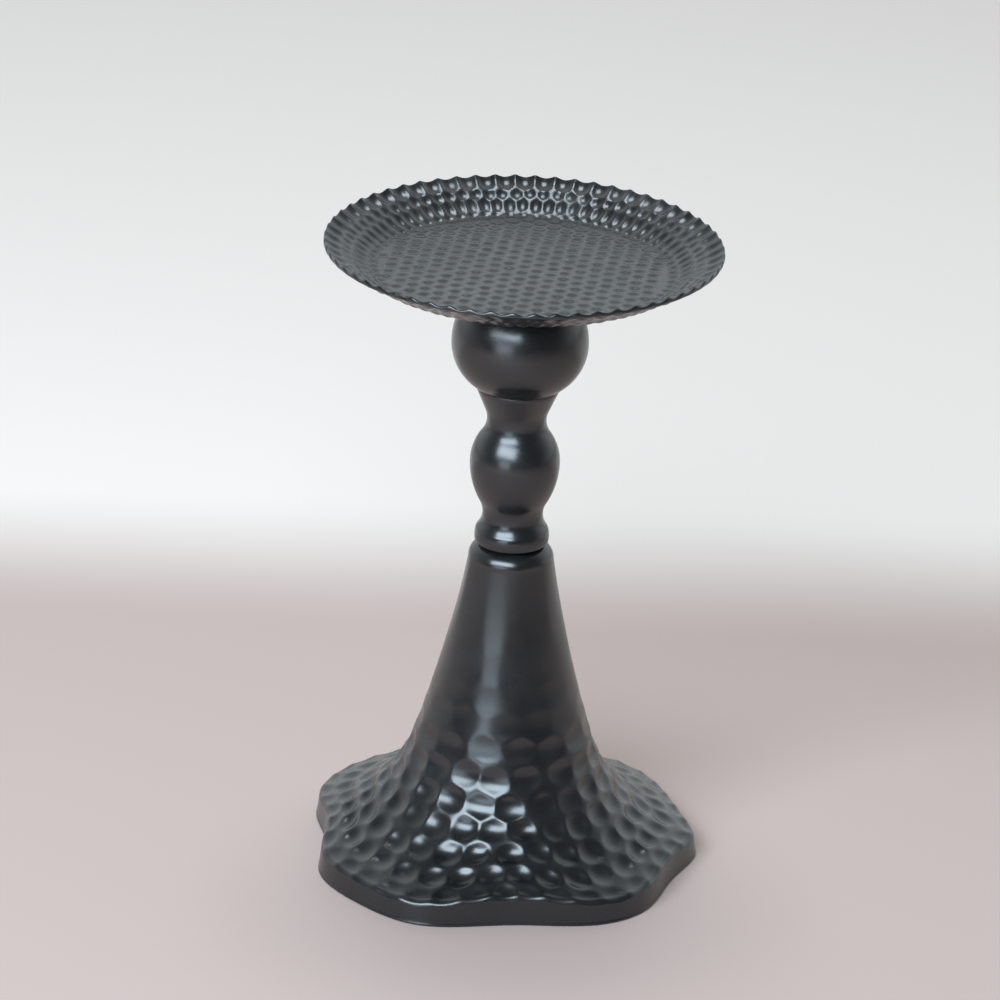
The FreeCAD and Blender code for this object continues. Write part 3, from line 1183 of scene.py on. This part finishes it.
@dataclass
class BaseBell:
    """Hollow hammered bell with a wavy, turned-down foot.

    Attributes:
        STAGGER: Shift of every second row, as a share of the distance between dimples.
        top_radius: Radius of the bell's top.
        top_rounding: Radius of the top's edge.
        waist: Point where the long round meets the flare.
        hollow: How far the long round is hollowed.
        flange: Point on the flare near the foot.
        sheet: Thickness of the sheet.
        draft: How far the foot's band leans out to the floor.
        foot_rounding: Radius between flare and band.
        foot_fall: Height of that round, as a share of its radius.
        lip: Rounding of the foot's outer edge on the floor.
        lip_middle: Distance of a point on that round from the edge, and its height.
        lip_lean: How far the band leans in over that round.
        tread: Way from the foot's outer edge to the end of its flat.
        groove: Height of the groove inside the flat.
        hole: Radius of the hole for the stem's spigot.
        wave_start: Radius from which the foot's outline waves.
        outline_room: How far the foot's outline stays inside the CAD node's.
        pitch: Distance between dimples in a row on the foot.
        pitch_rise: Height at which this distance is doubled.
        rows_bottom: Height of the edge that the rows are counted from.
        rows_top: Height that the rows go up to.
        first_row: Way of the lowest row from that edge.
        row_gap: Distance between rows.
        row_front: Turn at which the rows are staggered, in degrees.
        reach: Half-lengths of a dimple at the floor and at the rows' top, as shares of gap and pitch.
        stray: Shares by which the dimples stray at the floor and at the rows' top.
        depth_stray: How many times more their depths vary.
        sunk: Share of the depth that lies under the CAD face.
        blow_depth: Depth of the dimples on the foot.
        blow_end: Height at which half of their depth is left.
        blow_fade: Height over which their depth fades there.
        ridge_share: How much the ridges between them are rounded, as a share of the depth.
        foot_fade: Height over the floor at which they begin and that over which they deepen.
        top_fade: The same, down from the top.
        facets: Long shallow facets around the top.
        facet_length: Length of a facet.
        facet_depth: Depth of a facet.
        facet_half: Half of a facet's width, as a share of its sector.
        facet_place: Span of the facets' middles, as shares of their sectors.
        facet_ridge: How much the ridges between facets are rounded, as a share of the depth.
        band_gap: Gap between the bands of the mesh, as a share of their step.
        top_step: Distance between points around the top's edge.
        foot_step: Distance between points around the foot's round.
        lip_step: Distance between points on the foot's lip.
        outer_mesh: Distance between points of the outer face, and segments of its upper part.
        inner_mesh: The same for the inner face.
        seed: Seed of the hand-made unevenness.
    """

    STAGGER: ClassVar[float] = 0.5
    top_radius: float = 13.6 * MM
    top_rounding: float = 5.2 * MM
    waist: Spot = Spot(30.5 * MM, 40.0 * MM)
    hollow: float = 1.5 * MM
    flange: Spot = Spot(64.0 * MM, 8.5 * MM)
    sheet: float = 1.5 * MM
    draft: float = 0.8 * MM
    foot_rounding: float = 2.2 * MM
    foot_fall: float = 1.1
    lip: float = 0.5 * MM
    lip_middle: Spot = Spot(0.125 * MM, 0.175 * MM)
    lip_lean: float = 0.1 * MM
    tread: float = 1.275 * MM
    groove: float = 0.3 * MM
    hole: float = 6.2 * MM
    wave_start: float = 36.0 * MM
    outline_room: float = 0.06 * MM
    pitch: float = 9.7 * MM
    pitch_rise: float = 110.0 * MM
    rows_bottom: float = 6.375 * MM
    rows_top: float = 84.0 * MM
    first_row: float = 3.0 * MM
    row_gap: float = 9.1 * MM
    row_front: float = -92.0
    reach: tuple[float, float] = (0.46, 0.58)
    stray: tuple[float, float] = (0.07, 0.19)
    depth_stray: float = 2.0
    sunk: float = 0.38
    blow_depth: float = 1.3 * MM
    blow_end: float = 45.0 * MM
    blow_fade: float = 9.0 * MM
    ridge_share: float = 0.12
    foot_fade: tuple[float, float] = (6.8 * MM, 5.0 * MM)
    top_fade: tuple[float, float] = (0.4 * MM, 4.0 * MM)
    facets: int = 9
    facet_length: float = 40.0 * MM
    facet_depth: float = 0.35 * MM
    facet_half: float = 0.55
    facet_place: tuple[float, float] = (0.45, 0.6)
    facet_ridge: float = 0.2
    band_gap: float = 0.8
    top_step: float = 0.4 * MM
    foot_step: float = 0.5 * MM
    lip_step: float = 0.2 * MM
    outer_mesh: tuple[float, int] = (0.8 * MM, 240)
    inner_mesh: tuple[float, int] = (2.0 * MM, 120)
    seed: int = 23

    def __post_init__(self) -> None:
        """Read the height and the foot's outline from the CAD node and work out the rounds."""
        self.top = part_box("base_bell")[1].z
        self.outline = FootOutline("base_bell")
        top = Vector((self.top_radius, self.top))
        waist = self.waist.vector()
        chord = (waist - top).normalized()
        inward = Vector((chord.y, -chord.x))
        bow = (top + waist) / 2.0 + inward * self.hollow
        self.long_centre, self.long_radius = circle_through(top, bow, waist)
        towards = (self.long_centre - waist).normalized()
        reach = self.flange.vector() - waist
        self.flare_radius = reach.length_squared / (2.0 * reach.dot(towards))
        self.flare_centre = waist + towards * self.flare_radius

    def flare_spot(self, radius: float, sheet: float = 0.0) -> Spot:
        """Find the flare at a radius.

        Args:
            radius: Distance from the axis.
            sheet: Depth under the outer face.

        Returns:
            The point there.
        """
        reach = self.flare_radius + sheet
        across = self.flare_centre.x - radius
        return Spot(radius, self.flare_centre.y - math.sqrt(reach * reach - across * across))

    def long_spot(self, height: float, sheet: float) -> Spot:
        """Find the long round at a height.

        Args:
            height: Height over the floor.
            sheet: Depth under the outer face.

        Returns:
            The point there.
        """
        reach = self.long_radius + sheet
        rise = height - self.long_centre.y
        return Spot(self.long_centre.x - math.sqrt(reach * reach - rise * rise), height)

    def waist_at(self, sheet: float) -> Spot:
        """Find the waist of a face of the sheet.

        Args:
            sheet: Depth under the outer face.

        Returns:
            The point where the long round of that face meets its flare.
        """
        away = (self.waist.vector() - self.flare_centre).normalized()
        place = self.flare_centre + away * (self.flare_radius + sheet)
        return Spot(place.x, place.y)

    def neck_profile(self, step: float, sheet: float) -> Profile:
        """Draw the top and the long round down to just above the waist.

        Args:
            step: Distance between points.
            sheet: Depth under the outer face.

        Returns:
            The profile, from the hole down.
        """
        top = self.top - sheet
        rounding = self.top_rounding - sheet
        shoulder = self.long_spot(top - rounding, sheet)
        edge = Spot(shoulder.radius - rounding, top)
        diagonal = rounding * math.sqrt(0.5)
        corner = Spot(edge.radius + diagonal, shoulder.height + diagonal)
        end = self.long_spot(self.waist_at(sheet).height + self.band_gap * step, sheet)
        profile = Profile(step).start(Spot(self.hole, top)).line(edge)
        profile.step = self.top_step
        profile.arc(corner, shoulder)
        profile.step = step
        return profile.arc(self.long_spot((shoulder.height + end.height) / 2.0, sheet), end)

    def flare_profile(self, step: float, sheet: float) -> Profile:
        """Draw the flare and the foot's band, on the mean outline.

        Args:
            step: Distance between points.
            sheet: Depth under the outer face.

        Returns:
            The profile, from the waist down to the floor.
        """
        waist = self.waist_at(sheet)
        foot = self.outline.mean - sheet
        band = foot - self.draft
        rounding = self.foot_rounding - sheet
        end = self.flare_spot(band - rounding, sheet)
        profile = Profile(step).start(waist)
        profile.arc(self.flare_spot((waist.radius + end.radius) / 2.0, sheet), end)
        diagonal = rounding * math.sqrt(0.5)
        profile.step = self.foot_step
        profile.arc(
            Spot(end.radius + diagonal, end.height - rounding + diagonal),
            Spot(band, end.height - rounding * self.foot_fall),
        )
        profile.step = step
        if sheet:
            return profile.line(Spot(foot - self.lip_lean, 0.0)).line(Spot(foot, self.groove))
        profile.line(Spot(foot - self.lip_lean, 2.0 * self.lip))
        profile.step = self.lip_step
        middle = Spot(foot - self.lip_middle.radius, self.lip_middle.height)
        return profile.arc(middle, Spot(foot - self.lip, 0.0)).line(Spot(foot - self.tread, 0.0))

    def blow_depth_at(self, height: float) -> float:
        """Depth of a dimple at a height."""
        return self.blow_depth / (1.0 + math.exp((height - self.blow_end) / self.blow_fade))

    def pattern(self, face: Profile) -> HammerPattern:
        """Lay out the rows of blows, with depths as shares of the depth at their height.

        Args:
            face: Outer face from the foot's edge up to the top.

        Returns:
            The pattern.
        """
        chance = random.Random(self.seed)
        dimples: list[Dimple] = []
        place = self.first_row
        gap = self.row_gap
        phase = self.STAGGER
        while face.along(place)[0].y < self.rows_top:
            radius, height = face.along(place)[0]
            pitch = self.pitch * (1.0 + (height / self.pitch_rise) ** 2)
            rise = height / self.rows_top
            reach, stray = (low + (high - low) * rise for low, high in (self.reach, self.stray))
            count = round(math.tau * radius / pitch)
            for number in range(count):
                slip = chance.uniform(-stray, stray)
                turn = math.radians(self.row_front) + math.tau * (number + phase + slip) / count
                spot, along = face.along(place + chance.uniform(-stray, stray) * gap)
                depth = near_one(chance, self.depth_stray * stray)
                width = math.tau * spot.x / count
                dimples.append(
                    Dimple.on_turned_face(spot, along, turn, reach * gap, reach * width, depth)
                )
            place += gap
            phase = self.STAGGER - phase
        return HammerPattern(dimples, self.ridge_share)

    def facet_pattern(self, face: Profile) -> HammerPattern:
        """Lay out the long facets around the top.

        Args:
            face: Outer face from the foot's edge up to the top.

        Returns:
            The pattern.
        """
        chance = random.Random(self.seed + 1)
        dimples: list[Dimple] = []
        length = self.facet_length / 2.0
        spot, along = face.along(face.length() - length)
        width = self.facet_half * math.tau * spot.x / self.facets
        for number in range(self.facets):
            turn = math.tau * (number + chance.uniform(*self.facet_place)) / self.facets
            dimples.append(Dimple.on_turned_face(spot, along, turn, length, width, self.facet_depth))
        return HammerPattern(dimples, self.facet_ridge * self.facet_depth)

    def spin_face(
        self, mesh: BMesh, sheet: float, step: float, segments: int
    ) -> tuple[Profile, Profile]:
        """Spin one face of the sheet, with twice as many segments below the waist.

        Args:
            mesh: Mesh that takes the face.
            sheet: Depth under the outer face.
            step: Distance between points.
            segments: Segments of the part above the waist.

        Returns:
            The profiles of its upper and its lower part.
        """
        neck = self.neck_profile(step, sheet)
        flare = self.flare_profile(step, sheet)
        spin_bands(mesh, [(neck, segments), (flare, 2 * segments)])
        join_bands(mesh, neck.end(), flare.first())
        return neck, flare

    def build(self) -> Object:
        """Model the bell.

        Returns:
            The finished piece.
        """
        mesh = bmesh.new()
        neck, flare = self.spin_face(mesh, 0.0, *self.outer_mesh)
        self.hammer(mesh, neck, flare)
        inner_neck, inner_flare = self.spin_face(mesh, self.sheet, *self.inner_mesh)
        join_bands(mesh, neck.first(), inner_neck.first())
        join_bands(mesh, flare.end(), inner_flare.end())
        self.wave(mesh)
        return finish_mesh(mesh, "base_bell_hammered", SHEET_SHARP_ANGLE)

    def hammer(self, mesh: BMesh, neck: Profile, flare: Profile) -> None:
        """Beat the dimples into the outer face.

        Args:
            mesh: Smooth outer face.
            neck: Profile of its upper part.
            flare: Profile of its lower part.
        """
        bmesh.ops.recalc_face_normals(mesh, faces=mesh.faces)
        mesh.normal_update()
        upward = reversed(neck.points[1:] + flare.points)
        face = Profile(neck.step, [point for point in upward if point.y > self.rows_bottom])
        pattern = self.pattern(face)
        facets = self.facet_pattern(face)
        foot_start, foot_way = self.foot_fade
        top_start, top_way = self.top_fade
        moves: list[tuple[BMVert, Vector]] = []
        for vert in mesh.verts:
            radius = math.hypot(vert.co.x, vert.co.y)
            outward = Vector((vert.co.x / radius, vert.co.y / radius, 0.0))
            normal = vert.normal if vert.normal.dot(outward + UP) > 0.0 else -vert.normal
            share = clamp((vert.co.z - foot_start) / foot_way)
            share *= clamp((self.top - top_start - vert.co.z) / top_way)
            depth = (pattern.depth_at(vert.co) - self.sunk) * self.blow_depth_at(vert.co.z)
            depth += facets.depth_at(vert.co)
            moves.append((vert, normal * (-share * depth)))
        for vert, move in moves:
            vert.co += move

    def wave(self, mesh: BMesh) -> None:
        """Draw the round foot in and out to its wavy outline, along the flare.

        Args:
            mesh: Bell on the mean outline.
        """
        start = self.wave_start
        for vert in mesh.verts:
            radius = math.hypot(vert.co.x, vert.co.y)
            if radius > start:
                goal = self.outline.radius(math.atan2(vert.co.y, vert.co.x)) - self.outline_room
                moved = start + (radius - start) * (goal - start) / (self.outline.mean - start)
                vert.co.z *= self.flare_spot(moved).height / self.flare_spot(radius).height
                vert.co.x *= moved / radius
                vert.co.y *= moved / radius


# Turned stem


@dataclass
class Stem:
    """Turned bulb and baluster between the bell and the tray.

    Attributes:
        bulb: Radius of the bulb and the height of its girth over its lower seat.
        bulb_seat: Radius of its lower seat.
        bulb_crown: Radius of its upper seat.
        bore: Radius of the hole for the rod.
        pocket: Radius of the counterbore for the weld nut.
        pocket_depth: Depth of the counterbore.
        collar: Radius of the collar under the ball.
        collar_lip: Height of the collar's edge.
        neck: Radius of the upper neck and its distance under the collar's edge.
        knob: Radius of the knob and its distance under the neck.
        knob_share: Share of the knob in the curve up to the neck.
        crease: Radius of the crease and its distance under the knob.
        lower_neck: Radius of the lower neck and its distance under the crease.
        bead_edge: Radius of the bead's upper edge and its distance under the lower neck.
        bead: Radius of the bead and its distance under its upper edge.
        bead_foot: Radius of the bead's foot.
        seat_height: Height of the bead's foot over the bell.
        seat: Radius of the seat on the bell.
        spigot: Radius and length of the spigot in the bell.
        bulb_bevel: Rounding of the bulb's edges.
        baluster_bevel: Rounding of the baluster's edges.
        bore_step: Distance between points in the bulb's bore.
        bulb_step: Distance between points on the bulb.
        baluster_step: Distance between points on the baluster.
        steps: Steps in a full turn.
    """

    bulb: Spot = Spot(22.45 * MM, 15.1 * MM)
    bulb_seat: float = 13.8 * MM
    bulb_crown: float = 9.2 * MM
    bore: float = 3.4 * MM
    pocket: float = 5.9 * MM
    pocket_depth: float = 8.4 * MM
    collar: float = 13.75 * MM
    collar_lip: float = 0.8 * MM
    neck: Spot = Spot(9.8 * MM, 11.0 * MM)
    knob: Spot = Spot(14.85 * MM, 15.2 * MM)
    knob_share: float = 0.66
    crease: Spot = Spot(11.0 * MM, 14.1 * MM)
    lower_neck: Spot = Spot(10.05 * MM, 3.3 * MM)
    bead_edge: Spot = Spot(11.9 * MM, 6.0 * MM)
    bead: Spot = Spot(12.4 * MM, 2.4 * MM)
    bead_foot: float = 12.15 * MM
    seat_height: float = 1.0 * MM
    seat: float = 9.0 * MM
    spigot: Spot = Spot(6.0 * MM, 1.0 * MM)
    bulb_bevel: float = 0.25 * MM
    baluster_bevel: float = 0.2 * MM
    bore_step: float = 2.0 * MM
    bulb_step: float = 0.7 * MM
    baluster_step: float = 0.6 * MM
    steps: int = 160

    def turn_piece(self, profile: Profile, name: str, bevel: float) -> Object:
        """Spin a closed profile into a piece with rounded edges.

        Args:
            profile: Profile of the piece.
            name: Name of the piece.
            bevel: Rounding of its edges.

        Returns:
            The finished piece.
        """
        mesh = bmesh.new()
        spin_bands(mesh, [(profile, self.steps)], closed=True)
        piece = finish_mesh(mesh, name, TURNED_SHARP_ANGLE)
        soften_edges(piece, bevel, TURNED_SHARP_ANGLE)
        return piece

    def build_bulb(self) -> Object:
        """Model the bulb with its bore and counterbore.

        Returns:
            The finished piece.
        """
        low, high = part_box("bulb")
        girth = Spot(self.bulb.radius, low.z + self.bulb.height)
        seat = Spot(self.bulb_seat, low.z)
        crown = Spot(self.bulb_crown, high.z)
        pocket_floor = high.z - self.pocket_depth
        profile = Profile(self.bore_step).start(Spot(self.bore, low.z))
        profile.line(Spot(self.bore, pocket_floor)).line(Spot(self.pocket, pocket_floor))
        profile.line(Spot(self.pocket, high.z)).line(crown)
        profile.step = self.bulb_step
        profile.arc(upright_middle(crown, girth), girth)
        profile.arc(upright_middle(seat, girth), seat)
        return self.turn_piece(profile, "bulb_turned", self.bulb_bevel)

    @staticmethod
    def hollow(neck: Spot, swelling: Spot, share: float) -> tuple[Vector, float, Spot]:
        """Fit the round hollow of a neck to the swelling below it.

        Args:
            neck: Narrowest point.
            swelling: Widest point below it.
            share: Share of the swelling in the curve between them.

        Returns:
            The centre and the radius of the hollow, and the point where it meets the swelling.
        """
        rise = neck.height - swelling.height
        fall = swelling.radius - neck.radius
        both = (rise * rise + fall * fall) / (2.0 * fall)
        cove = both * (1.0 - share)
        crown_centre = Vector((swelling.radius - both * share, swelling.height))
        cove_centre = Vector((neck.radius + cove, neck.height))
        meeting = crown_centre.lerp(cove_centre, share)
        return cove_centre, cove, Spot(meeting.x, meeting.y)

    def build_baluster(self) -> Object:
        """Model the stem from the collar down to the spigot.

        Returns:
            The finished piece.
        """
        low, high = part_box("baluster")
        seat = low.z + self.spigot.height
        collar_low = Spot(self.collar, high.z - self.collar_lip)
        neck = self.neck.below(collar_low)
        knob = self.knob.below(neck)
        crease = self.crease.below(knob)
        lower_neck = self.lower_neck.below(crease)
        bead_edge = self.bead_edge.below(lower_neck)
        bead = self.bead.below(bead_edge)
        bead_foot = Spot(self.bead_foot, seat + self.seat_height)
        centre, cove, knob_meet = self.hollow(neck, knob, self.knob_share)
        way = collar_low.vector() - centre
        turn = math.atan2(way.y, way.x) + math.acos(cove / way.length)
        cone_end = Spot(centre.x + cove * math.cos(turn), centre.y + cove * math.sin(turn))
        profile = Profile(self.baluster_step).start(Spot(self.bore, high.z))
        profile.line(Spot(self.collar, high.z)).line(collar_low).line(cone_end)
        profile.arc(neck, knob_meet)
        profile.arc(upright_middle(knob_meet, knob), knob)
        profile.arc(upright_middle(crease, knob), crease)
        profile.arc(lower_neck, bead_edge).arc(bead, bead_foot)
        profile.line(Spot(self.seat, bead_foot.height)).line(Spot(self.seat, seat))
        profile.line(Spot(self.spigot.radius, seat)).line(Spot(self.spigot.radius, low.z))
        profile.line(Spot(self.bore, low.z))
        return self.turn_piece(profile, "baluster_turned", self.baluster_bevel)


# Fastenings


@dataclass
class TieRod:
    """Threaded tie rod.

    Attributes:
        pitch: Pitch of the thread.
        thread_depth: Depth of the thread.
        crest_share: Share of the pitch that is flat at the crest.
        chamfer: Height of the rod's end chamfers.
        steps: Steps in a turn of the thread.
    """

    pitch: float = 1.0 * MM
    thread_depth: float = 0.55 * MM
    crest_share: float = 0.16
    chamfer: float = 0.6 * MM
    steps: int = 32

    def build(self) -> Object:
        """Model the rod with its thread as one helix.

        Returns:
            The finished piece.
        """
        low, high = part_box("tie_rod")
        crest = (high.x - low.x) / 2.0
        root = crest - self.thread_depth
        flat = self.crest_share * self.pitch
        flank = (self.pitch - 2.0 * flat) / 2.0
        bottom = low.z - self.pitch
        marks = (
            (root, 0.0),
            (root, flat),
            (crest, flat + flank),
            (crest, 2.0 * flat + flank),
            (root, self.pitch),
        )
        points = [Vector((radius, bottom + lift)) for radius, lift in marks]
        mesh = bmesh.new()
        spin_line(mesh, points, math.tau, self.steps, climb=self.pitch / self.steps)
        lift = self.pitch
        while bottom + lift < high.z + self.pitch:
            whole = mesh.verts[:] + mesh.edges[:] + mesh.faces[:]
            copy = bmesh.ops.duplicate(mesh, geom=whole)["geom"]
            moved = [part for part in copy if isinstance(part, BMVert)]
            bmesh.ops.translate(mesh, verts=moved, vec=lift * UP)
            bmesh.ops.remove_doubles(mesh, verts=mesh.verts, dist=NEAR_DISTANCE)
            lift *= 2.0
        for height, side in ((low.z, -1.0), (high.z, 1.0)):
            bmesh.ops.bisect_plane(
                mesh,
                geom=mesh.verts[:] + mesh.edges[:] + mesh.faces[:],
                plane_co=height * UP,
                plane_no=side * UP,
                clear_outer=True,
            )
        bmesh.ops.holes_fill(mesh, edges=[edge for edge in mesh.edges if edge.is_boundary], sides=0)
        for vert in mesh.verts:
            radius = math.hypot(vert.co.x, vert.co.y)
            inside = min(vert.co.z - low.z, high.z - vert.co.z)
            limit = crest - max(0.0, self.chamfer - inside)
            if radius > limit:
                vert.co.x *= limit / radius
                vert.co.y *= limit / radius
        return finish_mesh(mesh, "tie_rod_threaded", THREAD_SHARP_ANGLE)


# Studio


@dataclass(frozen=True)
class Viewpoint:
    """Camera of the photograph.

    Attributes:
        aim: Point in the middle of the frame.
        distance: Distance of the camera from it.
        elevation: Height of the camera over the horizon, in degrees.
        roll: Turn of the camera about its own line of sight, in degrees.
        lens: Focal length, in millimetres.
        sensor: Width of the sensor, in millimetres.
        clip: Nearest and farthest distance that is shown.
    """

    aim: tuple[float, float, float] = (-4.338 * MM, 0.0, 126.974 * MM)
    distance: float = 1.7
    elevation: float = 23.138
    roll: float = 2.476
    lens: float = 185.33
    sensor: float = 36.0
    clip: tuple[float, float] = (0.05, 50.0)

    def build(self) -> Object:
        """Set up the scene's camera.

        Returns:
            The camera.
        """
        data = bpy.data.cameras.new("camera")
        data.lens = self.lens
        data.sensor_width = self.sensor
        data.clip_start, data.clip_end = self.clip
        camera = add_object("camera", data)
        angle = math.radians(self.elevation)
        back = Vector((0.0, -math.cos(angle), math.sin(angle)))
        place = Matrix.Translation(Vector(self.aim) + self.distance * back)
        tilt = Matrix.Rotation(math.pi / 2.0 - angle, 4, "X")
        camera.matrix_world = place @ tilt @ Matrix.Rotation(math.radians(self.roll), 4, "Z")
        bpy.context.scene.camera = camera
        return camera


@dataclass(frozen=True)
class SoftBox:
    """Flat studio light that faces the stand.

    Attributes:
        AIM_HEIGHT: Height of the stand's middle, which it faces.
        name: Name of the light.
        azimuth: Turn from the viewer's side to the right, in degrees.
        elevation: Height over the horizon, in degrees.
        distance: Distance from the stand's middle.
        width: Width of the light.
        height: Height of the light.
        radiance: Brightness of its face.
        colour: Colour of the light.
    """

    AIM_HEIGHT: ClassVar[float] = 0.12
    name: str
    azimuth: float
    elevation: float
    distance: float
    width: float
    height: float
    radiance: float
    colour: Colour = (1.0, 1.0, 1.0)

    def build(self) -> Object:
        """Hang the light.

        Returns:
            The light.
        """
        data = bpy.data.lights.new(self.name, "AREA")
        data.shape = "RECTANGLE"
        data.size = self.width
        data.size_y = self.height
        data.energy = self.radiance * math.pi * self.width * self.height
        data.color = self.colour
        light = add_object(self.name, data)
        turn = math.radians(self.azimuth)
        rise = math.radians(self.elevation)
        away = Vector(
            (math.sin(turn) * math.cos(rise), -math.cos(turn) * math.cos(rise), math.sin(rise))
        )
        light.location = self.AIM_HEIGHT * UP + self.distance * away
        light.rotation_euler = (-away).to_track_quat("-Z", "Y").to_euler()
        return light


@dataclass(frozen=True)
class Studio:
    """Pale floor, soft lights and a pale surrounding.

    Attributes:
        floor_radius: Radius of the floor.
        floor_segments: Segments of its edge.
        floor_sink: How far it lies under the stand.
        roughness: Roughness of the floor.
        gloss: Specular level of the floor.
        near: Colour of the floor around the stand.
        far: Colour of the floor behind it.
        edge: Where the near floor's colour ends and the far one's begins, behind the stand.
        front: Colour of the surrounding on the viewer's side.
        back: Colour of the surrounding behind the stand.
        overhead: Share of its height by which a place of the surrounding counts as farther back.
        span: How far back the front's colour ends and the back's begins.
        lights: Soft lights.
    """

    floor_radius: float = 6.0
    floor_segments: int = 96
    floor_sink: float = 0.05 * MM
    roughness: float = 0.75
    gloss: float = 0.2
    near: Colour = (0.58, 0.445, 0.4)
    far: Colour = (0.97, 0.86, 0.79)
    edge: tuple[float, float] = (0.17, 0.3)
    front: Colour = (0.125, 0.13, 0.137)
    back: Colour = (0.86, 0.93, 0.95)
    overhead: float = -0.55
    span: tuple[float, float] = (-0.55, 0.6)
    lights: tuple[SoftBox, ...] = (
        SoftBox("window", -26.0, 35.2, 1.8, 1.6, 0.84, 11.2, (0.72, 0.87, 1.0)),
        SoftBox("sill", -26.0, 6.0, 1.8, 0.85, 0.45, 3.4, (0.72, 0.87, 1.0)),
        SoftBox("ceiling", 184.0, 77.0, 1.8, 0.62, 0.54, 9.5, (0.8, 0.92, 1.0)),
        SoftBox("under_bell", 0.0, -90.0, 0.125, 0.07, 0.07, 6.0),
    )

    def build_floor(self) -> Object:
        """Lay the floor, which is clear from below and lets the light under the bell through.

        Returns:
            The floor.
        """
        mesh = bmesh.new()
        bmesh.ops.create_circle(
            mesh, cap_ends=True, segments=self.floor_segments, radius=self.floor_radius
        )
        data = bpy.data.meshes.new("floor")
        mesh.to_mesh(data)
        mesh.free()
        floor = add_object("floor", data)
        floor.location.z = -self.floor_sink
        material, sheet, shader = new_material("pale_floor")
        behind = sheet.spread(sheet.parts(sheet.coords()).outputs["Y"], *self.edge)
        sheet.set(
            shader,
            in_Base_Color=sheet.blend(behind, self.near, self.far),
            in_Roughness=self.roughness,
            in_Specular_IOR_Level=self.gloss,
        )
        facing = sheet.add("ShaderNodeNewGeometry").outputs["Backfacing"]
        shadow = sheet.add("ShaderNodeLightPath").outputs["Is Shadow Ray"]
        clear = sheet.add("ShaderNodeBsdfTransparent")
        either = sheet.add("ShaderNodeMixShader", in_Fac=sheet.math("MAXIMUM", facing, shadow))
        sheet.feed(either.inputs[1], shader.outputs["BSDF"])
        sheet.feed(either.inputs[2], clear.outputs["BSDF"])
        sheet.set(material.node_tree.nodes["Material Output"], in_Surface=either.outputs["Shader"])
        data.materials.append(material)
        return floor

    def build_surrounding(self) -> None:
        """Light the world, brighter behind the stand than on the viewer's side."""
        world = bpy.data.worlds.new("surrounding")
        bpy.context.scene.world = world
        world.use_nodes = True
        sheet = NodeSheet(world.node_tree)
        parts = sheet.parts(sheet.coords("Generated")).outputs
        behind = sheet.math("ADD", parts["Y"], sheet.math("MULTIPLY", parts["Z"], self.overhead))
        colour = sheet.blend(sheet.spread(behind, *self.span), self.front, self.back)
        sheet.set(world.node_tree.nodes["Background"], in_Color=colour, in_Strength=1.0)

    def build(self) -> None:
        """Set up floor, surrounding and lights."""
        self.build_floor()
        self.build_surrounding()
        for light in self.lights:
            light.build()


def main() -> None:
    """Build the stand, dress it and set up the studio."""
    logging.basicConfig(level=logging.INFO, format="%(name)s: %(message)s")
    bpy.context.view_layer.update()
    bpy.context.scene.view_settings.view_transform = "Standard"
    groups = EffectGroups()
    hammered = Paint("hammered_black", specks=0.6).build(groups)
    smooth = Paint("smooth_black").build(groups)
    zinc = Zinc("bright_zinc").build(groups)
    stem = Stem()
    set_in_place(DripTray().build(), "drip_tray", hammered)
    set_in_place(BaseBell().build(), "base_bell", hammered)
    set_in_place(stem.build_bulb(), "bulb", smooth)
    set_in_place(stem.build_baluster(), "baluster", smooth)
    set_in_place(TieRod().build(), "tie_rod", zinc)
    for node, finish in (
        ("tray_weld_nut", smooth),
        ("clamp_washer", zinc),
        ("spring_washer", zinc),
        ("hex_nut", zinc),
    ):
        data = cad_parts[node].data
        data.materials.clear()
        data.materials.append(finish)
        log.info("%s keeps its CAD shape", node)
    Viewpoint().build()
    Studio().build()


if __name__ == "__main__":
    main()
